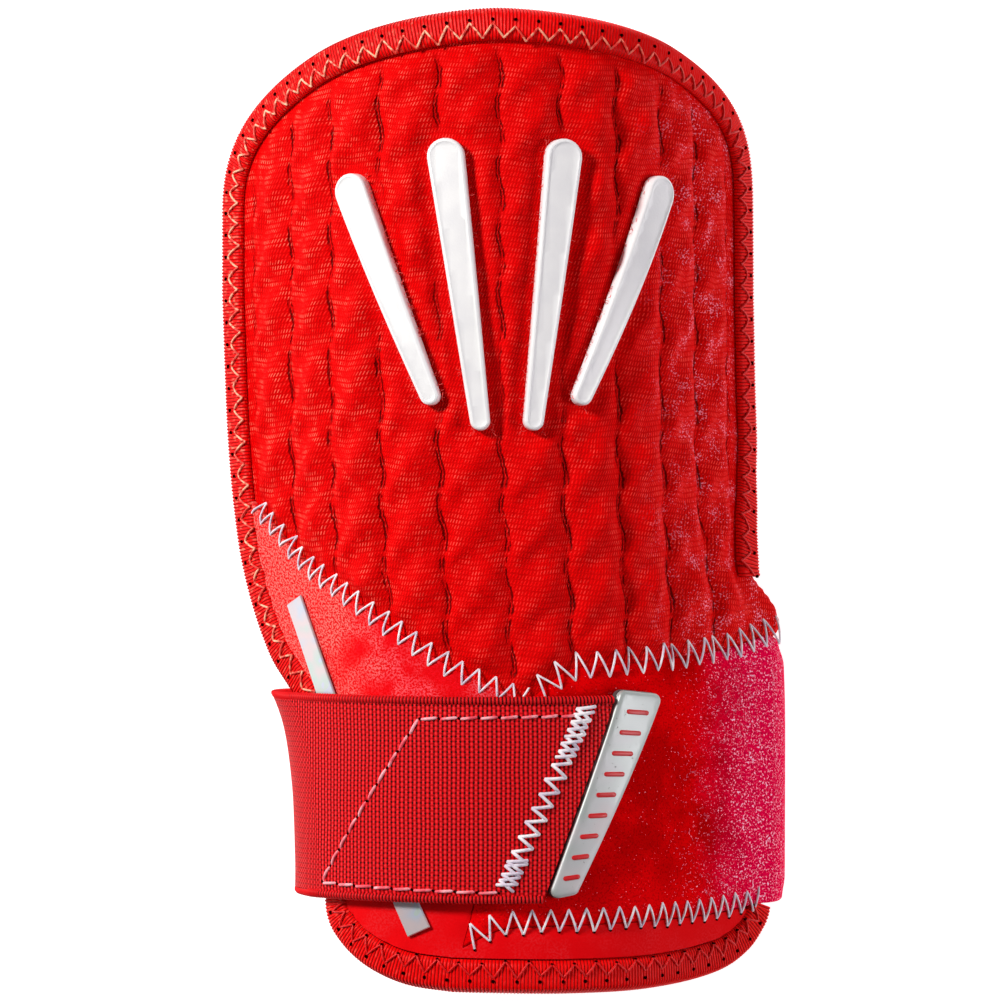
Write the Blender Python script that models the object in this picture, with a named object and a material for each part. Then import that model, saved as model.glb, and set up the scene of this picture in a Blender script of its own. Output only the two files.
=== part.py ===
"""Batting hand protector: a quilted knit pad on a wrist strap, lying face up on its strap.

Each cloth piece is cut flat and then formed over the hand. Flat positions are (u, v, w): u across
from the crown line, v along from the wrist end, w outwards from the pad's outer face.
"""
from math import ceil, cos, floor, pi, radians, sin

import bmesh
import bpy
from mathutils import Matrix, Vector

# The hand that the pad is formed over
FORM_RADIUS = 0.040
SIDE_SLOPE = radians(52)
WING_SLOPE = radians(40)
WING_TOP = 0.0928
WING_RUN = 0.030
CROWN_DROP = 0.0065
CROWN_DROP_RUN = 0.060
CROWN_SHIFT = 0.0022
CROWN_SHIFT_RUN = 0.060

# The pad
PAD_LENGTH = 0.1713
HALF_GIRTH = 0.0622
PAD_THICKNESS = 0.0075
RIM_THICKNESS = 0.0034
RIM_FLAT = 0.011
RIM_RISE = 0.013
QUILT_COLUMN = 0.011
QUILT_ROW = 0.0111
QUILT_DEPTH = 0.0012
QUILT_FADE = 0.003

# Cloth pieces laid on the pad
CLEARANCE = 0.0003
TAPE_THICKNESS = 0.0012
TAPE_ARM = 0.0046
PANEL_THICKNESS = 0.0010
STRIPE_THICKNESS = 0.0004
STRIPE_WIDTH = 0.0044
BAND_THICKNESS = 0.0015
STRAP_THICKNESS = 0.0017
STRAP_WIDTH = 0.0364
STRAP_ROLL = 0.0016
STRAP_ROLL_HEIGHT = 0.0003

# Hard pieces
TAB_THICKNESS = 0.0024
TAB_TOP_WIDTH = 0.0088
TAB_FOOT_WIDTH = 0.0052
TAB_CORNER = 0.0014
TAB_EDGE = 0.0005
RIB_HEIGHT = 0.0021
RIB_HEAD_RADIUS = 0.0032
RIB_FOOT_RADIUS = 0.0017
RIB_EDGE = 0.0008
RIB_DISH = 0.0003

# How finely the pieces are cut
STATION = 0.0044
FORM_STEP = 0.0046

# The pad's outline, as shares of the pad's length (along) and of its half girth (out)
LEFT_EDGE = (
    # along, out
    (0.0020, -0.177),
    (0.0080, -0.314),
    (0.0235, -0.434),
    (0.0455, -0.524),
    (0.0718, -0.577),
    (0.1214, -0.580),
    (0.1915, -0.600),
    (0.2499, -0.638),
    (0.2849, -0.690),
    (0.3083, -0.752),
    (0.3374, -0.826),
    (0.3841, -0.892),
    (0.4366, -0.937),
    (0.4892, -0.958),
    (0.5417, -0.971),
    (0.6293, -0.987),
    (0.7169, -1.000),
)
RIGHT_EDGE = (
    # along, out
    (0.0000, 0.130),
    (0.0000, 0.380),
    (0.0040, 0.580),
    (0.0130, 0.725),
    (0.0290, 0.820),
    (0.0480, 0.875),
    (0.0640, 0.905),
    (0.0740, 0.900),
    (0.0900, 0.862),
    (0.1214, 0.838),
    (0.1915, 0.836),
    (0.2616, 0.842),
    (0.3100, 0.855),
    (0.3300, 0.872),
    (0.3450, 0.905),
    (0.3520, 0.965),
    (0.3620, 0.995),
    (0.3770, 0.992),
    (0.3930, 0.968),
    (0.4080, 0.935),
    (0.4220, 0.908),
    (0.4600, 0.938),
    (0.5067, 0.990),
    (0.5592, 1.014),
    (0.6293, 1.006),
    (0.7169, 0.998),
)
ARCH_START = 0.80
ARCH_CROWN_POWER = 1.54
ARCH_LEFT_POWER = 2.55
ARCH_RIGHT_POWER = 3.55

# The tape leaves the right side open between these shares of the length
TAPE_LOW_END = 0.0480
TAPE_HIGH_END = 0.4170

# Seams across the pad, from left to right
LEFT_SEAM = (
    # along, out
    (0.5300, -1.000),
    (0.4836, -0.830),
    (0.4346, -0.659),
    (0.3950, -0.460),
    (0.3586, -0.303),
    (0.3252, -0.161),
    (0.2990, 0.000),
    (0.2950, 0.040),
)
RIGHT_SEAM = (
    # along, out
    (0.2950, 0.050),
    (0.3240, 0.160),
    (0.3270, 0.265),
    (0.3310, 0.477),
    (0.3363, 0.727),
    (0.3450, 0.981),
)
LOWER_SEAM = (
    # along, out
    (0.0410, -0.140),
    (0.0560, -0.060),
    (0.0615, 0.020),
    (0.0630, 0.260),
    (0.0648, 0.635),
    (0.0720, 0.860),
)
PANEL_FOOT_OUT = -0.158
PANEL_SIDE_GAP = 0.0005

# The stripe's two ends, foot first
STRIPE = (
    # along, out
    (0.0560, -0.262),
    (0.3946, -0.698),
)

# The strap over the front, round the sides and under the wrist
STRAP_MIDDLE = 0.1926
STRAP_TUCK = 0.0010
STRAP_END_TOP_OUT = 0.274
STRAP_END_FOOT_OUT = 0.070
TAB_OVERHANG = 0.0010
BAND_SIDE_ROOM = 0.0004
JOIN_OUT = 0.35

# The ribs' two ends, as shares of the length (along) and half girth (out)
RIBS = (
    # foot along, foot out, head along, head out
    (0.606, -0.196, 0.818, -0.434),
    (0.580, -0.058, 0.852, -0.150),
    (0.580, 0.088, 0.852, 0.176),
    (0.606, 0.228, 0.818, 0.500),
)

# Rows of quilting slip by this share of a row between two shares of the length
ROW_ZERO = 0.7583
ROW_SLIP = 0.36
ROW_SLIP_START = 0.682
ROW_SLIP_END = 0.553
COLUMN_WEAVE = 0.045


def ease(share):
    """Smooth step from 0 to 1."""
    share = min(max(share, 0.0), 1.0)
    return share * share * (3 - 2 * share)


def slope_at(u, v):
    """Slope of the straight side below the crown's round."""
    if u < 0:
        return SIDE_SLOPE
    return SIDE_SLOPE + (WING_SLOPE - SIDE_SLOPE) * ease((WING_TOP - v) / WING_RUN)


def crown_at(v):
    """Sideways place and height of the crown line."""
    drop_start = PAD_LENGTH - CROWN_DROP_RUN
    dip = max(v - drop_start, 0.0) / CROWN_DROP_RUN
    side = CROWN_SHIFT * ease((0.6 * PAD_LENGTH - v) / CROWN_SHIFT_RUN)
    return side, -CROWN_DROP * dip * dip


def form(u, v, w):
    """A flat place, formed over the hand: a round crown between two straight sides."""
    side = -1 if u < 0 else 1
    slope = slope_at(u, v)
    turned = min(abs(u) / FORM_RADIUS, slope)
    straight = max(abs(u) - FORM_RADIUS * slope, 0.0)
    x0, z0 = crown_at(v)
    x = x0 + side * ((FORM_RADIUS + w) * sin(turned) + straight * cos(slope))
    z = z0 + (FORM_RADIUS + w) * cos(turned) - FORM_RADIUS - straight * sin(slope)
    return Vector((x, v - PAD_LENGTH / 2, z))


def smooth_through(rows, steps=6):
    """Points on a smooth curve through a table's rows, turned into (u, v)."""
    points = [Vector((out * HALF_GIRTH, along * PAD_LENGTH)) for along, out in rows]
    ends = [2 * points[0] - points[1]] + points + [2 * points[-1] - points[-2]]
    curve = []
    for before, start, end, after in zip(ends, ends[1:], ends[2:], ends[3:]):
        for step in range(steps):
            t = step / steps
            curve.append(0.5 * (2 * start + (end - before) * t
                                + (2 * before - 5 * start + 4 * end - after) * t * t
                                + (3 * start - before - 3 * end + after) * t ** 3))
    return curve + [points[-1]]


def seam_height(curve, u):
    """The v of a seam at a given u."""
    if u <= curve[0].x:
        return curve[0].y
    for start, end in zip(curve, curve[1:]):
        if start.x <= u <= end.x:
            return start.y + (end.y - start.y) * (u - start.x) / max(end.x - start.x, 1e-9)
    return curve[-1].y


def knuckle_arch():
    """The rounded knuckle end, from the right side over to the left."""
    start = ARCH_START * PAD_LENGTH
    rise = PAD_LENGTH - start
    points = []
    for step in range(1, 60):
        angle = pi * step / 60
        side, power = (1, ARCH_RIGHT_POWER) if angle < pi / 2 else (-1, ARCH_LEFT_POWER)
        u = side * HALF_GIRTH * abs(cos(angle)) ** (2 / ARCH_CROWN_POWER)
        v = start + rise * sin(angle) ** (2 / power)
        points.append(Vector((u, v)))
    return points


def evenly(line, step):
    """The same line with points about one step apart."""
    lengths = [0.0]
    for start, end in zip(line, line[1:]):
        lengths.append(lengths[-1] + (end - start).length)
    count = max(ceil(lengths[-1] / step), 2)
    places = [lengths[-1] * k / count for k in range(count + 1)]
    result = []
    index = 0
    for place in places:
        while index < len(lengths) - 2 and lengths[index + 1] < place:
            index += 1
        share = (place - lengths[index]) / max(lengths[index + 1] - lengths[index], 1e-12)
        result.append(line[index].lerp(line[index + 1], share))
    return result


def pad_outline():
    """The pad's edge: open side first, then over the knuckles and back along the wrist end."""
    right = smooth_through(RIGHT_EDGE)
    left = smooth_through(LEFT_EDGE)
    loop = right + knuckle_arch() + left[::-1]
    low = TAPE_LOW_END * PAD_LENGTH
    high = TAPE_HIGH_END * PAD_LENGTH
    start = next(k for k, point in enumerate(right) if point.y > low and point.x > 0)
    end = next(k for k, point in enumerate(right) if point.y > high)
    open_side = evenly(loop[start:end + 1], STATION)
    taped = evenly(loop[end:] + loop[:start + 1], STATION)
    return open_side, taped


def outward(points, k, closed=False):
    """Unit vector out of a line that runs counterclockwise."""
    count = len(points)
    before = points[(k - 1) % count] if closed else points[max(k - 1, 0)]
    after = points[(k + 1) % count] if closed else points[min(k + 1, count - 1)]
    along = (after - before).normalized()
    return Vector((along.y, -along.x))


OPEN_SIDE, TAPED = pad_outline()
OUTLINE = OPEN_SIDE[:-1] + TAPED[:-1]
LEFT_SEAM_LINE = smooth_through(LEFT_SEAM, 3)
RIGHT_SEAM_LINE = smooth_through(RIGHT_SEAM, 3)
LOWER_SEAM_LINE = smooth_through(LOWER_SEAM, 3)

PANEL_TOP = CLEARANCE + PANEL_THICKNESS
STRIPE_BASE = PANEL_TOP + CLEARANCE
STRAP_BASE = STRIPE_BASE + STRIPE_THICKNESS + CLEARANCE
STRAP_TOP = STRAP_BASE + STRAP_THICKNESS
BAND_TOP = CLEARANCE + BAND_THICKNESS
TAPE_TOP = CLEARANCE + TAPE_THICKNESS


def edge_distance(u, v):
    """Distance from a flat place to the pad's edge."""
    here = Vector((u, v))
    best = 1.0
    for k, start in enumerate(OUTLINE):
        side = OUTLINE[(k + 1) % len(OUTLINE)] - start
        share = min(max((here - start).dot(side) / side.length_squared, 0.0), 1.0)
        best = min(best, (start + side * share - here).length)
    return best


def rib_ends(row):
    foot_along, foot_out, head_along, head_out = row
    foot = Vector((foot_out * HALF_GIRTH, foot_along * PAD_LENGTH))
    head = Vector((head_out * HALF_GIRTH, head_along * PAD_LENGTH))
    return foot, head


def rib_distance(u, v):
    """Distance from a flat place to the nearest rib's side."""
    here = Vector((u, v))
    best = 1.0
    for row in RIBS:
        foot, head = rib_ends(row)
        side = head - foot
        share = min(max((here - foot).dot(side) / side.length_squared, 0.0), 1.0)
        radius = RIB_FOOT_RADIUS + (RIB_HEAD_RADIUS - RIB_FOOT_RADIUS) * share
        best = min(best, (foot + side * share - here).length - radius)
    return best


def quilting(u, v):
    """Height of the quilting from 0 in a groove to about 1: slanted pillows in columns."""
    slipped = (ROW_SLIP_START - v / PAD_LENGTH) / (ROW_SLIP_START - ROW_SLIP_END)
    row = (v - ROW_ZERO * PAD_LENGTH) / QUILT_ROW + ROW_SLIP * ease(slipped)
    column = u / QUILT_COLUMN + COLUMN_WEAVE * sin(2 * pi * row)
    a = column - floor(column)
    b = row - floor(row + 0.5)
    gap = 0.5 - 0.5 * cos(2 * pi * b)
    base = 0.5 * (1 - (1 - 0.45 * gap) * abs(2 * a - 1) ** 4)
    pillow = 0.5 * 2.718 ** -(((a - 0.64 - 0.25 * b) / 0.26) ** 2 + (b / 0.34) ** 2)
    c = b + 0.42 - floor(b + 0.42 + 0.5)
    blob = 0.3 * 2.718 ** -(((a - 0.20) / 0.16) ** 2 + (c / 0.22) ** 2)
    return base + pillow + blob


def quilt_height(u, v):
    """Height of the pad's face: quilted above the seams, smooth under tape, panels and ribs."""
    seam = seam_height(LEFT_SEAM_LINE + RIGHT_SEAM_LINE, u)
    room = min(v - seam, edge_distance(u, v) - TAPE_ARM, rib_distance(u, v))
    return QUILT_DEPTH * quilting(u, v) * ease((room - QUILT_FADE) / QUILT_FADE)


def pad_depth(u, v):
    """Thickness of the pad: thin in the rim's tape, full over the back of the hand."""
    rise = ease((edge_distance(u, v) - RIM_FLAT) / RIM_RISE)
    return RIM_THICKNESS + (PAD_THICKNESS - RIM_THICKNESS) * rise


def lines(low, high, step, through=0.0):
    """Evenly spaced values that cover a range, one of them at a given value."""
    first = floor((low - through) / step)
    last = ceil((high - through) / step)
    return [through + step * k for k in range(first, last + 1)]


def grid(bm, us, vs, height):
    """A rectangular net over the given lines."""
    made = bmesh.ops.create_grid(bm, x_segments=len(us) - 1, y_segments=len(vs) - 1, size=1.0)["verts"]
    for vert in made:
        u = us[round((vert.co.x + 1) / 2 * (len(us) - 1))]
        v = vs[round((vert.co.y + 1) / 2 * (len(vs) - 1))]
        vert.co = (u, v, height(u, v))
    return made


def rim_edges(verts):
    edges = {edge for vert in verts for edge in vert.link_edges}
    return [edge for edge in edges if edge.is_boundary]


def polygon(bm, points, w=0.0):
    return bm.faces.new([bm.verts.new((point.x, point.y, w)) for point in points])


def raised(bm, faces, rise):
    """The faces pulled up into a closed block."""
    made = bmesh.ops.extrude_face_region(bm, geom=list(faces))["geom"]
    verts = [item for item in made if isinstance(item, bmesh.types.BMVert)]
    bmesh.ops.translate(bm, verts=verts, vec=(0, 0, rise))
    return [item for item in made if isinstance(item, bmesh.types.BMFace)]


def cut_up(bm, step=FORM_STEP):
    """Extra edges across and along, so that a flat piece can be formed round the hand."""
    for axis, spacing in ((Vector((1, 0, 0)), step), (Vector((0, 1, 0)), 2 * step)):
        places = [vert.co.dot(axis) for vert in bm.verts]
        for place in lines(min(places), max(places), spacing):
            geometry = list(bm.verts) + list(bm.edges) + list(bm.faces)
            bmesh.ops.bisect_plane(bm, geom=geometry, dist=1e-6, plane_co=axis * place, plane_no=axis)


def material(name, colour, roughness):
    made = bpy.data.materials.new(name)
    made.use_nodes = True
    shader = made.node_tree.nodes["Principled BSDF"]
    shader.inputs["Base Color"].default_value = (*colour, 1)
    shader.inputs["Roughness"].default_value = roughness
    shader.inputs["Metallic"].default_value = 0.0
    return made


def finished(name, bm, finish, place=form):
    """One closed piece from a flat one, every point carried to its place on the hand."""
    for vert in bm.verts:
        vert.co = place(*vert.co)
    bmesh.ops.remove_doubles(bm, verts=bm.verts, dist=2e-6)
    bmesh.ops.recalc_face_normals(bm, faces=bm.faces)
    bmesh.ops.triangulate(bm, faces=bm.faces)
    mesh = bpy.data.meshes.new(name)
    bm.to_mesh(mesh)
    bm.free()
    mesh.shade_smooth()
    mesh.set_sharp_from_angle(angle=radians(35))
    piece = bpy.data.objects.new(name, mesh)
    bpy.context.scene.collection.objects.link(piece)
    mesh.materials.append(finish)
    return piece


def kept_inside(bm, outline, low, high):
    """The part of a flat block that lies inside an upright prism over an outline."""
    block = bpy.data.meshes.new("block")
    bm.to_mesh(block)
    bm.free()
    prism = bmesh.new()
    raised(prism, [polygon(prism, outline, low)], high - low)
    bmesh.ops.recalc_face_normals(prism, faces=prism.faces)
    cutter_mesh = bpy.data.meshes.new("cutter")
    prism.to_mesh(cutter_mesh)
    prism.free()
    body = bpy.data.objects.new("block", block)
    cutter = bpy.data.objects.new("cutter", cutter_mesh)
    for item in (body, cutter):
        bpy.context.scene.collection.objects.link(item)
    trim = body.modifiers.new("trim", "BOOLEAN")
    trim.operation = "INTERSECT"
    trim.solver = "EXACT"
    trim.object = cutter
    result = bmesh.new()
    result.from_object(body, bpy.context.evaluated_depsgraph_get())
    for item in (body, cutter):
        bpy.data.objects.remove(item)
    for mesh in (block, cutter_mesh):
        bpy.data.meshes.remove(mesh)
    return result


def quilted_pad(finish):
    """The padded guard: a finely quilted face and a plain back, trimmed to the outline."""
    us = [point.x for point in OUTLINE]
    vs = [point.y for point in OUTLINE]
    margin = QUILT_COLUMN / 2
    quilt_low = min(point.y for point in LEFT_SEAM_LINE + RIGHT_SEAM_LINE)
    across = lines(min(us) - margin, max(us) + margin, QUILT_COLUMN / 4)
    along = lines(quilt_low, max(vs) + margin, QUILT_ROW / 4, ROW_ZERO * PAD_LENGTH)
    smooth_part = lines(min(vs) - margin, along[0] - margin, margin)
    bm = bmesh.new()
    face = grid(bm, across, smooth_part + along, quilt_height)
    face_rim = rim_edges(face)
    back_across = lines(min(us) - margin, max(us) + margin, QUILT_COLUMN / 2)
    back_across[0], back_across[-1] = across[0], across[-1]
    back_along = lines(min(vs) - margin, max(vs) + margin, QUILT_ROW * 0.75)
    back_along[0], back_along[-1] = smooth_part[0], along[-1]
    back = grid(bm, back_across, back_along, lambda u, v: -pad_depth(u, v))
    bmesh.ops.bridge_loops(bm, edges=face_rim + rim_edges(back))
    bmesh.ops.recalc_face_normals(bm, faces=bm.faces)
    bm = kept_inside(bm, OUTLINE, -2 * PAD_THICKNESS, 2 * PAD_THICKNESS)
    return finished("quilted_pad", bm, finish)


def tape_section():
    """The folded tape cut across: distances out from the pad's edge and out from its face."""
    reach = TAPE_TOP
    foot = -RIM_THICKNESS - CLEARANCE
    return (
        (-TAPE_ARM, CLEARANCE),
        (-TAPE_ARM, TAPE_TOP),
        (0.0, TAPE_TOP),
        (reach * 0.75, CLEARANCE + TAPE_THICKNESS * 0.4),
        (reach, -RIM_THICKNESS / 2),
        (reach * 0.75, foot - TAPE_THICKNESS * 0.4),
        (0.0, foot - TAPE_THICKNESS),
        (-TAPE_ARM, foot - TAPE_THICKNESS),
        (-TAPE_ARM, foot),
        (CLEARANCE, foot),
        (CLEARANCE, CLEARANCE),
    )


def edge_binding(finish):
    """Tape folded round the rim: one arm on the face, one on the back, a rounded fold outside."""
    section = tape_section()
    bm = bmesh.new()
    rings = []
    for k, point in enumerate(TAPED):
        out = outward(TAPED, k)
        places = [(point + out * distance, w) for distance, w in section]
        rings.append([bm.verts.new((place.x, place.y, w)) for place, w in places])
    count = len(section)
    for ring, after in zip(rings, rings[1:]):
        for k in range(count):
            bm.faces.new((ring[k], ring[(k + 1) % count], after[(k + 1) % count], after[k]))
    bm.faces.new(rings[0])
    bm.faces.new(rings[-1][::-1])
    return finished("edge_binding", bm, finish)


def side_panel(finish):
    """Smooth cloth on the lower left, between the tape, the left seam and the wrist band."""
    inset = TAPE_ARM + CLEARANCE
    inner = [point - outward(OUTLINE, k, True) * inset for k, point in enumerate(OUTLINE)]
    foot = Vector((PANEL_FOOT_OUT * HALF_GIRTH, -PAD_LENGTH / 10))
    beside_band = LOWER_SEAM_LINE[0] - Vector((PANEL_SIDE_GAP, 0))
    left = -2 * HALF_GIRTH
    region = [Vector((left, foot.y)), foot, beside_band]
    region += LEFT_SEAM_LINE[::-1] + [Vector((left, LEFT_SEAM_LINE[0].y))]
    bm = bmesh.new()
    raised(bm, [polygon(bm, region, CLEARANCE)], PANEL_THICKNESS)
    bmesh.ops.recalc_face_normals(bm, faces=bm.faces)
    bm = kept_inside(bm, inner, -PAD_THICKNESS, PAD_THICKNESS)
    cut_up(bm)
    return finished("side_panel", bm, finish)


def reflective_stripe(finish):
    """A straight slanted stripe on the side panel, passing under the strap."""
    foot, head = [Vector((out * HALF_GIRTH, along * PAD_LENGTH)) for along, out in STRIPE]
    direction = (head - foot).normalized()
    half = Vector((direction.y, -direction.x)) * STRIPE_WIDTH / 2
    corners = [foot - half, foot + half, head + half, head - half]
    bm = bmesh.new()
    raised(bm, [polygon(bm, corners, STRIPE_BASE)], STRIPE_THICKNESS)
    cut_up(bm)
    return finished("reflective_stripe", bm, finish)


def edge_at(line, v):
    """How far out a line lies at a given v."""
    for start, end in zip(line, line[1:]):
        if min(start.y, end.y) <= v <= max(start.y, end.y):
            share = (v - start.y) / (end.y - start.y) if end.y != start.y else 0.0
            return abs(start.x + (end.x - start.x) * share)
    return abs(min(line, key=lambda point: abs(point.y - v)).x)


def left_turn(v):
    """How far out on the left the strap leaves the pad and turns under the wrist."""
    return edge_at([point for point in TAPED if point.x < 0], v) - STRAP_TUCK


def right_turn(v):
    """How far out on the right the wrist band leaves the pad and turns under the wrist."""
    return edge_at(OPEN_SIDE, v) + BAND_SIDE_ROOM


def lowest_rim():
    """Height that the folded tape reaches down to: the surface the guard lies on."""
    heights = []
    for k, point in enumerate(TAPED):
        out = outward(TAPED, k)
        for distance, w in tape_section():
            place = point + out * distance
            heights.append(form(place.x, place.y, w).z)
    return min(heights)


REST = lowest_rim()


def turned_under(side, turn, v, outer, share, w):
    """A place on the round bend from the pad's side to the flat run under the wrist."""
    slope = min(slope_at(side * turn, v), turn / FORM_RADIUS)
    start = form(side * turn, v, 0.0)
    radius = (start.z - REST - outer) / (1 + cos(slope))
    angle = slope + share * (pi - slope)
    centre = start - radius * Vector((side * sin(slope), 0, cos(slope)))
    return centre + (radius + w) * Vector((side * sin(angle), 0, cos(angle)))


def under_wrist(side, turn, v, outer, share, w, join_x):
    """A place on the flat run under the wrist, up to the join."""
    start = turned_under(side, turn, v, outer, 1.0, w)
    return Vector((start.x + (join_x - start.x) * share, start.y, start.z))


def net_block(bm, across, along):
    """A closed block of a net, with its lower side at 0 and its upper side at 1."""
    bmesh.ops.create_grid(bm, x_segments=across, y_segments=along, size=0.5)
    bmesh.ops.translate(bm, verts=bm.verts, vec=(0.5, 0.5, 0))
    raised(bm, bm.faces, 1.0)


def wrist_band(finish):
    """Velour over the lower right, round the right side and flat under the wrist."""
    front_steps, bend_steps, flat_steps = 18, 8, 5
    steps = front_steps + bend_steps + flat_steps
    half = STRAP_WIDTH / 2
    middle = STRAP_MIDDLE * PAD_LENGTH
    join_x = JOIN_OUT * HALF_GIRTH + CLEARANCE / 2
    first_top = Vector((RIGHT_SEAM[0][1] * HALF_GIRTH, RIGHT_SEAM[0][0] * PAD_LENGTH))
    first_foot = Vector((LOWER_SEAM[0][1] * HALF_GIRTH, LOWER_SEAM[0][0] * PAD_LENGTH))

    def place(step, across, upper):
        w = CLEARANCE + BAND_THICKNESS * upper
        index = round(step * steps)
        if index <= front_steps:
            share = index / front_steps
            top_u = first_top.x + (right_turn(RIGHT_SEAM_LINE[-1].y) - first_top.x) * share
            foot_u = first_foot.x + (right_turn(LOWER_SEAM_LINE[-1].y) - first_foot.x) * share
            top = Vector((top_u, seam_height(RIGHT_SEAM_LINE, top_u)))
            foot = Vector((foot_u, seam_height(LOWER_SEAM_LINE, foot_u)))
            spot = foot.lerp(top, across)
            return form(spot.x, spot.y, w)
        top_v = RIGHT_SEAM_LINE[-1].y
        foot_v = LOWER_SEAM_LINE[-1].y
        narrowed = ease((index - front_steps) / (bend_steps + flat_steps - 1))
        v_front = foot_v + (top_v - foot_v) * across
        v_flat = middle - half + 2 * half * across
        v = v_front + (v_flat - v_front) * narrowed
        turn_top = right_turn(top_v)
        turn = right_turn(foot_v) + (turn_top - right_turn(foot_v)) * across
        if index <= front_steps + bend_steps:
            share = (index - front_steps) / bend_steps
            spot = turned_under(1, turn, v_front, BAND_TOP, share, w)
        else:
            share = (index - front_steps - bend_steps) / flat_steps
            spot = under_wrist(1, turn, v_front, BAND_TOP, share, w, join_x)
        spot.y = v - PAD_LENGTH / 2
        return spot

    bm = bmesh.new()
    net_block(bm, steps, 3)
    return finished("wrist_band", bm, finish, place)


def strap_end(v):
    """The slanted end of the strap, where the tab begins."""
    share = (v - STRAP_MIDDLE * PAD_LENGTH) / STRAP_WIDTH + 0.5
    return (STRAP_END_FOOT_OUT + (STRAP_END_TOP_OUT - STRAP_END_FOOT_OUT) * share) * HALF_GIRTH


def elastic_strap(finish):
    """Elastic from the wrist band's end under the wrist, round the left side and over the front."""
    front_steps, bend_steps, flat_steps = 14, 10, 5
    steps = front_steps + bend_steps + flat_steps
    low = STRAP_MIDDLE * PAD_LENGTH - STRAP_WIDTH / 2
    join_x = JOIN_OUT * HALF_GIRTH - CLEARANCE / 2
    rows = (0.0, STRAP_ROLL / 2, STRAP_ROLL, STRAP_WIDTH / 2)
    rows += tuple(STRAP_WIDTH - row for row in rows[2::-1])
    rolled = (0.0, 1.0, 0.0, 0.0, 0.0, 1.0, 0.0)

    def place(step, across, upper):
        row = round(across * (len(rows) - 1))
        v = low + rows[row]
        index = round(step * steps)
        outer = STRAP_TOP
        roll = rolled[row] * STRAP_ROLL_HEIGHT if index <= front_steps + bend_steps / 2 else 0.0
        w = STRAP_BASE + (STRAP_THICKNESS + roll) * upper
        turn = left_turn(v)
        if index <= front_steps:
            u = strap_end(v) - (strap_end(v) + turn) * index / front_steps
            return form(u, v, w)
        if index <= front_steps + bend_steps:
            return turned_under(-1, turn, v, outer, (index - front_steps) / bend_steps, w)
        share = (index - front_steps - bend_steps) / flat_steps
        return under_wrist(-1, turn, v, outer, share, w, join_x)

    bm = bmesh.new()
    net_block(bm, steps, len(rows) - 1)
    return finished("elastic_strap", bm, finish, place)


def rounded_polygon(corners, radius, arc_steps=3):
    """A polygon with each corner rounded off."""
    points = []
    count = len(corners)
    for k, corner in enumerate(corners):
        back = (corners[k - 1] - corner).normalized()
        ahead = (corners[(k + 1) % count] - corner).normalized()
        half_angle = back.angle(ahead) / 2
        tangent = radius / abs(sin(half_angle) / cos(half_angle))
        centre = corner + (back + ahead).normalized() * (radius / sin(half_angle))
        start = corner + back * tangent - centre
        end = corner + ahead * tangent - centre
        sweep = start.angle_signed(end)
        for step in range(arc_steps + 1):
            turned = start.copy()
            turned.rotate(Matrix.Rotation(-sweep * step / arc_steps, 2))
            points.append(centre + turned)
    return points


def pull_tab(finish):
    """A hard slanted tab across the strap's end, wider at the top."""
    half = STRAP_WIDTH / 2
    top = STRAP_MIDDLE * PAD_LENGTH + half + TAB_OVERHANG
    foot = STRAP_MIDDLE * PAD_LENGTH - half + TAB_OVERHANG / 2
    left_top = strap_end(top) + CLEARANCE * 1.5
    left_foot = strap_end(foot) + CLEARANCE * 1.5
    corners = [Vector((left_foot, foot)), Vector((left_foot + TAB_FOOT_WIDTH, foot + TAB_OVERHANG)),
               Vector((left_top + TAB_TOP_WIDTH, top - TAB_OVERHANG)), Vector((left_top, top))]
    bm = bmesh.new()
    base = STRAP_BASE - CLEARANCE
    cap = raised(bm, [polygon(bm, rounded_polygon(corners, TAB_CORNER), base)], TAB_THICKNESS - TAB_EDGE)
    bmesh.ops.inset_region(bm, faces=cap, thickness=TAB_EDGE, depth=TAB_EDGE)
    bmesh.ops.recalc_face_normals(bm, faces=bm.faces)
    cut_up(bm)
    return finished("pull_tab", bm, finish)


def rib(name, row, finish):
    """A moulded rib along a hand bone: tapered, round-ended, its top dished inside a bevelled rim."""
    foot, head = rib_ends(row)
    along = (head - foot).normalized()
    side = Vector((along.y, -along.x))
    points = []
    for centre, radius, start in ((head, RIB_HEAD_RADIUS, 0.0), (foot, RIB_FOOT_RADIUS, pi)):
        for step in range(7):
            angle = start + pi * step / 6
            points.append(centre + radius * (side * cos(angle) + along * sin(angle)))
    bm = bmesh.new()
    cap = raised(bm, [polygon(bm, points, CLEARANCE)], RIB_HEIGHT - RIB_EDGE)
    bmesh.ops.inset_region(bm, faces=cap, thickness=RIB_EDGE / 2, depth=RIB_EDGE)
    bmesh.ops.inset_region(bm, faces=cap, thickness=RIB_EDGE / 2, depth=-RIB_DISH)
    bmesh.ops.recalc_face_normals(bm, faces=bm.faces)
    cut_up(bm)
    return finished(name, bm, finish)


def stand(pieces):
    """Put the origin at the bottom centre of the whole guard."""
    points = [vert.co for piece in pieces for vert in piece.data.vertices]
    low = Vector([min(point[axis] for point in points) for axis in range(3)])
    high = Vector([max(point[axis] for point in points) for axis in range(3)])
    shift = Vector((-(low.x + high.x) / 2, -(low.y + high.y) / 2, -low.z))
    for piece in pieces:
        for vert in piece.data.vertices:
            vert.co += shift


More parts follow.
